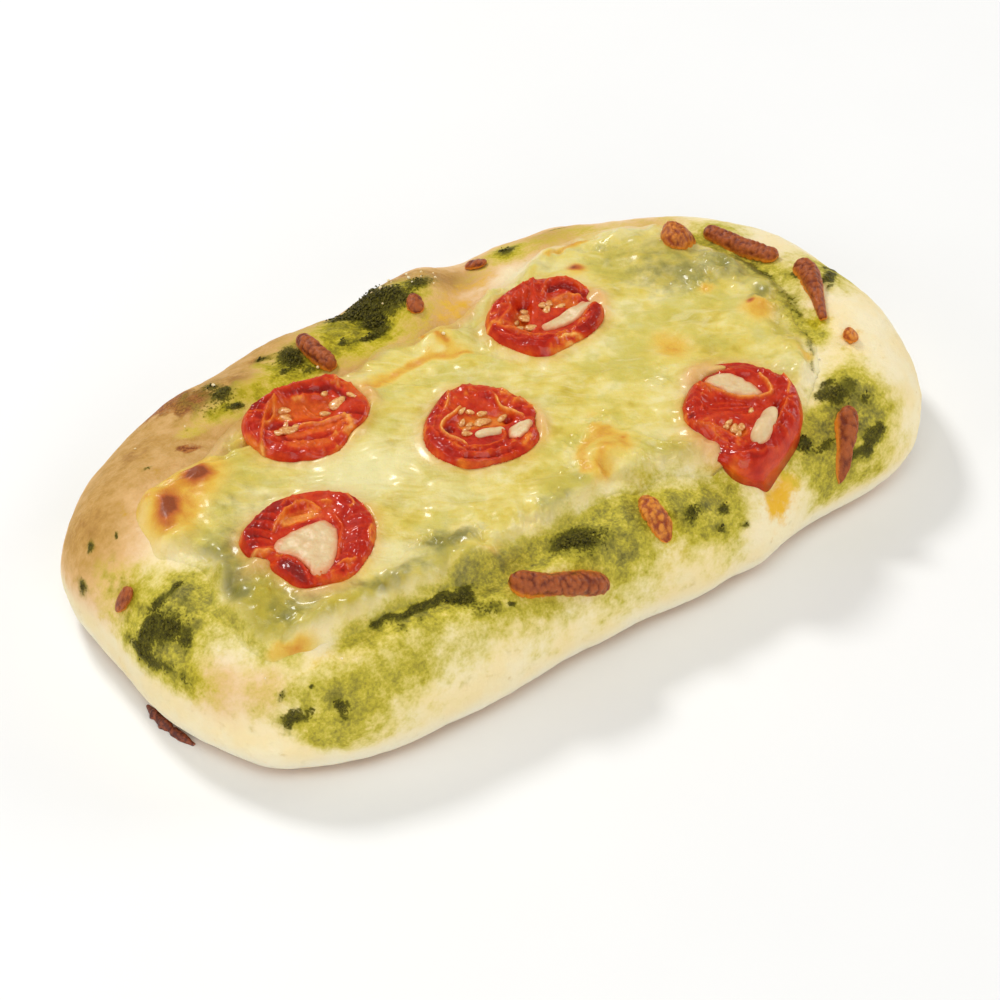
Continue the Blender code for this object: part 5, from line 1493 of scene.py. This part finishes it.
def strand_piece(name, points, height, rests_on, finish, seed, lumps, warm=0.0, stiff=False):
    """A strand along a smooth line: grainy and round on top, flat where it lies, blunt at both ends."""
    cx, cy, width, hx, hy, along, blunt = strand_middle(points)
    angle = (np.arange(STRAND_SECTORS) * 2 * np.pi / STRAND_SECTORS)[None]
    rise = rests_on((cx - hy).ravel(), (cy + hx).ravel()) - rests_on((cx + hy).ravel(), (cy - hx).ravel())
    taps, pad = np.full(SLOPE_TAPS, 1 / SLOPE_TAPS), SLOPE_TAPS // 2
    slope = np.convolve(np.pad(rise / 2, pad, mode="edge"), taps, "valid")[:, None]
    level_share = 1 / np.hypot(1, slope)
    side = width / 2 * blunt * np.cos(angle) * level_share
    thick = height * blunt * np.clip(np.sin(angle), -0.25, 1) * np.minimum(width / 3.5, 1.15)
    swell, coarse = strand_swell(seed, cx - hy * side, cy + hx * side, thick, lumps)
    x, y = cx - hy * side * swell, cy + hx * side * swell
    lift = thick * swell * level_share
    if stiff:
        level = np.polyfit(along.ravel(), rests_on(cx.ravel(), cy.ravel()), 1)
        level = np.polyval(level, along.ravel())[:, None] - 0.2
    else:
        level = rests_on(x.ravel(), y.ravel()).reshape(x.shape) + 0.2
    rings = rows(x + hy * slope * lift, y - hx * slope * lift, level + lift)[::-1]
    mesh_points, faces = ring_sheet(rings)
    rim = np.broadcast_to(1 - np.clip(np.sin(angle), 0, 1), x.shape)[::-1].ravel() ** 2
    marks = {
        "rim": np.append(rim, [1, 1]),
        # Height of the coarse grains, which the finish turns into painted light and shade
        "grain": np.append(coarse[::-1].ravel(), [0, 0]),
        "warm": np.full(len(mesh_points), warm),
    }
    return add_piece(name, mesh_points, faces, finish, marks)


SHEET_SECTORS = 120
SHEET_RINGS = 26
SHEET_ROUNDS = 60
SHEET_UNDERSIDE = (0.7, 0.3)
SHEET_DEPTH = 0.7
SHEET_SUNK = 0.3


def sheet_edge(corners, seed):
    """The outline of a flat piece, rounded between its corners and a little uneven."""
    closed = np.concatenate([corners[-3:], corners, corners[:3]])
    where = np.arange(-3, len(corners) + 3)
    t = np.linspace(0, len(corners), SHEET_SECTORS, endpoint=False)
    edge = np.stack([np.interp(t, where, column) for column in closed.T], axis=1)
    for _ in range(SHEET_ROUNDS):
        edge = (np.roll(edge, 1, 0) + 2 * edge + np.roll(edge, -1, 0)) / 4
    return (edge + waves(edge.T, (seed, 1.2, 0.2))[:, None]).T


def sheet_piece(name, centre, corners, thickness, finish, seed):
    """A flat white piece lying on a tomato: thin at its soft edge, following what it lies on."""
    shares = np.append(np.linspace(0.04, 1, SHEET_RINGS), SHEET_UNDERSIDE)[:, None]
    x, y = (middle + (edge - middle) * shares for middle, edge in zip(centre, sheet_edge(corners, seed)))
    level = smooth_tomato_top(x.ravel(), y.ravel()).reshape(x.shape)
    wavy = waves((x, y), (seed + 1, 2, 0.18), (seed + 2, 0.8, 0.07)) * step(shares, 1, 0.75)
    top = level + thickness * dome((1 - shares) * 2.2) - SHEET_SUNK + wavy
    upper = np.arange(len(shares))[:, None] < SHEET_RINGS
    points, faces = ring_sheet(rows(x, y, np.where(upper, top, level - SHEET_DEPTH)))
    rim = np.broadcast_to(np.where(upper, shares**3, 0), x.shape).ravel()
    return add_piece(name, points, faces, finish, {"rim": np.append(rim, [0, 0])})


SCRAP_DIRECTIONS = (186.0, 195.5)
SCRAP_INSET = 2.9
SCRAP_WIDTH = 2.2
SCRAP_HEIGHT = 1.2
SCRAP_RINGS = 70
SCRAP_SECTORS = 16


def scrap_piece(finish):
    """The burnt scrap under the left end: a thin ragged strip on the table."""
    angle = np.arange(SCRAP_SECTORS) * 2 * np.pi / SCRAP_SECTORS
    first, last = np.radians(SCRAP_DIRECTIONS)
    rings = []
    for i in range(SCRAP_RINGS - 1, 0, -1):
        along = i / SCRAP_RINGS
        direction = first + (last - first) * along
        blunt = (1 - (2 * along - 1) ** 2) ** 0.4
        reach = blunt * (1 + 0.5 * noise(81, np.array([along * 14]), np.array([0.5]))[0])
        radius = outline_radius(direction) - SCRAP_INSET - SCRAP_WIDTH / 2 * reach * np.cos(angle)
        height = SCRAP_HEIGHT * reach * np.clip(np.sin(angle), 0, 1)
        rings.append(rows(*places_at(radius, direction), height))
    return add_piece("scrap", *ring_sheet(rings), finish)


NORMAL_STEP = 0.15


def surface_normal(x, y, top):
    """Upward normals of a surface."""
    slope_x = (top(x + NORMAL_STEP, y) - top(x - NORMAL_STEP, y)) / (2 * NORMAL_STEP)
    slope_y = (top(x, y + NORMAL_STEP) - top(x, y - NORMAL_STEP)) / (2 * NORMAL_STEP)
    normal = rows(-slope_x, -slope_y, 1)
    return normal / np.linalg.norm(normal, axis=1)[:, None]


FLAKES = 3400
FLAKE_TRIES = 60000
FLAKE_CORNERS = 6
FLAKE_THICKNESS = 0.12


def flake_places(rng):
    """Places of the flakes on the crust, thickest where it is darkest."""
    angle = rng.uniform(0, 2 * np.pi, FLAKE_TRIES)
    x, y = places_at(outline_radius(angle) * np.sqrt(rng.uniform(0.2, 0.985, FLAKE_TRIES)), angle)
    outside = inset(x, y, cheese_radius) < -1.6
    density = np.clip(1.1 * field(x, y, HERBS) ** 2 - 0.2, 0, 1)
    keep = outside & (rng.uniform(size=FLAKE_TRIES) < density) & (bread_top(x, y) > 12)
    return x[keep][:FLAKES], y[keep][:FLAKES]


def flake_form(rng, place, normal):
    """One flake: an uneven polygon lying nearly flat, with a point above and below."""
    size = rng.uniform(0.18, 0.5)
    turn = rng.uniform(0, 2 * np.pi)
    stretch = rng.uniform(0.35, 0.9)
    n = Vector(normal + rng.normal(size=3) * 0.25).normalized()
    a = n.orthogonal().normalized()
    centre = place + normal * rng.uniform(-0.1, 0.15)
    angle = turn + np.arange(FLAKE_CORNERS) * 2 * np.pi / FLAKE_CORNERS
    dx, dy = places_at(size * rng.uniform(0.6, 1.1, FLAKE_CORNERS), angle)
    rim = centre + np.outer(dx, a) + np.outer(dy * stretch, n.cross(a))
    up = np.array(n) * FLAKE_THICKNESS
    return np.concatenate([rim + up * 0.3, rim - up * 0.3, [centre + up * 1.6], [centre - up]])


def flakes_piece(finish):
    """Flakes of herb lying on the crust."""
    rng = np.random.default_rng(17)
    x, y = flake_places(rng)
    places, normals = rows(x, y, bread_top(x, y)), surface_normal(x, y, bread_top)
    top = np.arange(FLAKE_CORNERS)
    base = top + FLAKE_CORNERS
    side = strip_faces(top, base)
    ends = [fan_faces(2 * FLAKE_CORNERS, top), turned_over(fan_faces(2 * FLAKE_CORNERS + 1, base))]
    form = np.concatenate(ends + [side[:, :3], side[:, [0, 2, 3]]])
    points = np.array([flake_form(rng, *pair) for pair in zip(places, normals)])
    faces = form[None] + (np.arange(len(points)) * points.shape[1])[:, None, None]
    return add_piece("herb_flakes", points.reshape(-1, 3), [faces.reshape(-1, 3)], finish)


# Crumbs of hard cheese: x, y and size
CRUMBS = (
    (2, 41, 0.9), (7.4, 38.6, 0.8), (5.4, 43, 0.7), (11, 39.2, 0.6), (12.2, 36, 0.6), (10.2, 33.6, 0.5),
    (8.6, 41.2, 0.6), (-0.6, 36.4, 0.5), (3, 38.6, 0.4), (-22.4, 27.6, 0.7), (-42.6, 34.6, 0.8),
    (2, 18.6, 0.8), (-63.8, 30, 0.5), (-53.2, 28.4, 0.6), (-77.6, -32.2, 0.5), (-63.2, -41, 0.5),
    (-76.4, -35.4, 0.4), (6.6, 36.2, 0.5), (9.4, 37, 0.4), (4.4, 40.6, 0.4), (0.8, 42.4, 0.5),
    (13.4, 38.4, 0.4), (56.4, 17.8, 0.4),
)
CRUMB_RINGS = 5
CRUMB_SECTORS = 8


def crumbs_piece(finish):
    """Small crumbs of hard cheese."""
    rng = np.random.default_rng(23)
    angle = np.arange(CRUMB_SECTORS) * 2 * np.pi / CRUMB_SECTORS
    parts = []
    for x, y, size in CRUMBS:
        base = open_top(np.array([x]), np.array([y]))[0] + size * 0.2
        rings = []
        for i in range(1, CRUMB_RINGS):
            turn = np.pi * i / CRUMB_RINGS
            reach = np.sin(turn) * size / 2 * rng.uniform(0.7, 1.2, CRUMB_SECTORS)
            rings.append(rows(*places_at(reach, angle, (x, y)), base + np.cos(turn) * size * 0.4))
        parts.append(ring_sheet(rings))
    return add_piece("cheese_crumbs", *gathered(parts), finish)


def belongs(piece, slot, *nodes):
    """Ties a piece to the part's one body and hides the solids that it stands for; its slot is not used."""
    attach(piece, "root")
    if nodes:
        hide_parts(*nodes)


def build_tomatoes():
    """The tomato halves and their seeds."""
    flesh = tomato_finish()
    for name, tomato in TOMATOES.items():
        belongs(tomato_piece(name, tomato, flesh), "dried_tomato", name)
    seed = two_tone_finish("tomato_seed", (0.5, 3), SEED, flesh=(0.2, (0.8, 0.5, 0.2)),
                           Roughness=0.35, Coat_Weight=0.5, Coat_Roughness=0.1)
    belongs(seeds_piece(seed), "dried_tomato")


def build_strands():
    """Browned and white cheese lying on the rest."""
    brown, pale = browned_finish(), pale_finish()
    for i, (name, (points, height, warm)) in enumerate(BROWNED.items()):
        piece = strand_piece("fine_" + name, points, height, open_top, brown, 100 + 7 * i, 0.18, warm)
        belongs(piece, "browned_cheese", name)
    for i, (name, (points, height)) in enumerate(PALE_STRANDS.items()):
        piece = strand_piece("fine_" + name, points, height, tomato_top, pale, 300 + 7 * i, 0.03, stiff=True)
        belongs(piece, "pale_cheese", name)
    for i, (name, (centre, corners, thickness)) in enumerate(PALE_SHEETS.items()):
        piece = sheet_piece("fine_" + name, centre, corners, thickness, pale, 400 + 7 * i)
        belongs(piece, "pale_cheese", name)


def build_food():
    """All pieces of the focaccia."""
    belongs(loaf_piece(crust_finish()), "crust", "bread")
    belongs(cheese_piece(cheese_finish()), "melted_cheese", "melted_cheese")
    build_tomatoes()
    build_strands()
    burnt = two_tone_finish("burnt_cheese", (0.8, 4, 0.65), BURNT, (0.4, 0.65), (0.3, 0.6), Roughness=0.45)
    belongs(scrap_piece(burnt), "burnt_cheese", "burnt_scrap")
    flake = two_tone_finish("herb_flake", (0.8, 3), FLAKE, Roughness=0.5, Specular_IOR_Level=0.12)
    belongs(flakes_piece(flake), "crust")
    crumb = two_tone_finish("hard_cheese_crumb", (0.6, 3), CRUMB, flesh=(0.2, (0.8, 0.6, 0.4)), Roughness=0.5)
    belongs(crumbs_piece(crumb), "pale_cheese")


# Camera, light and floor

VIEW_AZIMUTH = -36.0
VIEW_ELEVATION = 42.0
VIEW_DISTANCE = 700.0
VIEW_TARGET = (-6.45, -12.31, 12.0)
PIXELS = 1000
PIXELS_PER_MM = 5.06
SENSOR_MM = 36.0
# Name, place and size in metres, and power
LIGHTS = (
    ("key", (-0.05, 0.62, 0.75), 0.2, 4.2),
    ("overhead", (-0.35, -0.3, 1.0), 0.5, 1.9),
    ("front", (-0.3, -0.85, 0.35), 0.6, 2.6),
    ("right", (0.85, -0.2, 0.4), 0.5, 2.6),
    ("left", (-0.85, 0.1, 0.45), 0.5, 1.6),
)
LIGHT_TARGET = (0, 0, 0.02)
SKY_COLOUR = (1.0, 0.99, 0.97, 1)
SKY_STRENGTH = 0.4
FLOOR_GREYS = ((0.86, 0.86, 0.85), (0.88, 0.88, 0.87))
FLOOR_SIDE = 4000.0


def place_object(data, place, facing):
    """Puts a camera or light in the scene, looking against a direction."""
    obj = bpy.data.objects.new(data.name, data)
    obj.location = place
    obj.rotation_euler = facing.to_track_quat("Z", "Y").to_euler()
    bpy.context.scene.collection.objects.link(obj)
    return obj


def camera():
    """The camera, from the photo's own angle."""
    azimuth, elevation = np.radians(VIEW_AZIMUTH), np.radians(VIEW_ELEVATION)
    level = np.cos(elevation)
    back = Vector((np.sin(azimuth) * level, -np.cos(azimuth) * level, np.sin(elevation)))
    data = bpy.data.cameras.new("camera")
    data.sensor_width = SENSOR_MM
    data.lens = VIEW_DISTANCE * PIXELS_PER_MM / PIXELS * SENSOR_MM
    place = (Vector(VIEW_TARGET) + back * VIEW_DISTANCE) * METRES
    bpy.context.scene.camera = place_object(data, place, back)


def soft_light(name, place, size, power):
    """A round soft lamp that shines on the food."""
    data = bpy.data.lights.new(name, "AREA")
    data.shape = "DISK"
    data.size = size
    data.energy = power
    place_object(data, place, Vector(place) - Vector(LIGHT_TARGET))


def studio():
    """A plain pale floor and soft light from above and behind."""
    f = Finish("floor")
    f.set(Base_Color=f.mix(f.noise(40, 2), *FLOOR_GREYS), Roughness=0.6)
    corners = np.array([[-1, -1, 0], [1, -1, 0], [1, 1, 0], [-1, 1, 0]]) * FLOOR_SIDE
    floor = add_piece("floor", corners, [np.arange(4)[None]], f.material)
    world = bpy.data.worlds.new("studio")
    world.use_nodes = True
    background = world.node_tree.nodes["Background"].inputs
    background["Color"].default_value = SKY_COLOUR
    background["Strength"].default_value = SKY_STRENGTH
    bpy.context.scene.world = world
    for light in LIGHTS:
        soft_light(*light)
    bpy.context.scene.view_settings.view_transform = "Standard"


camera()
studio()
build_food()
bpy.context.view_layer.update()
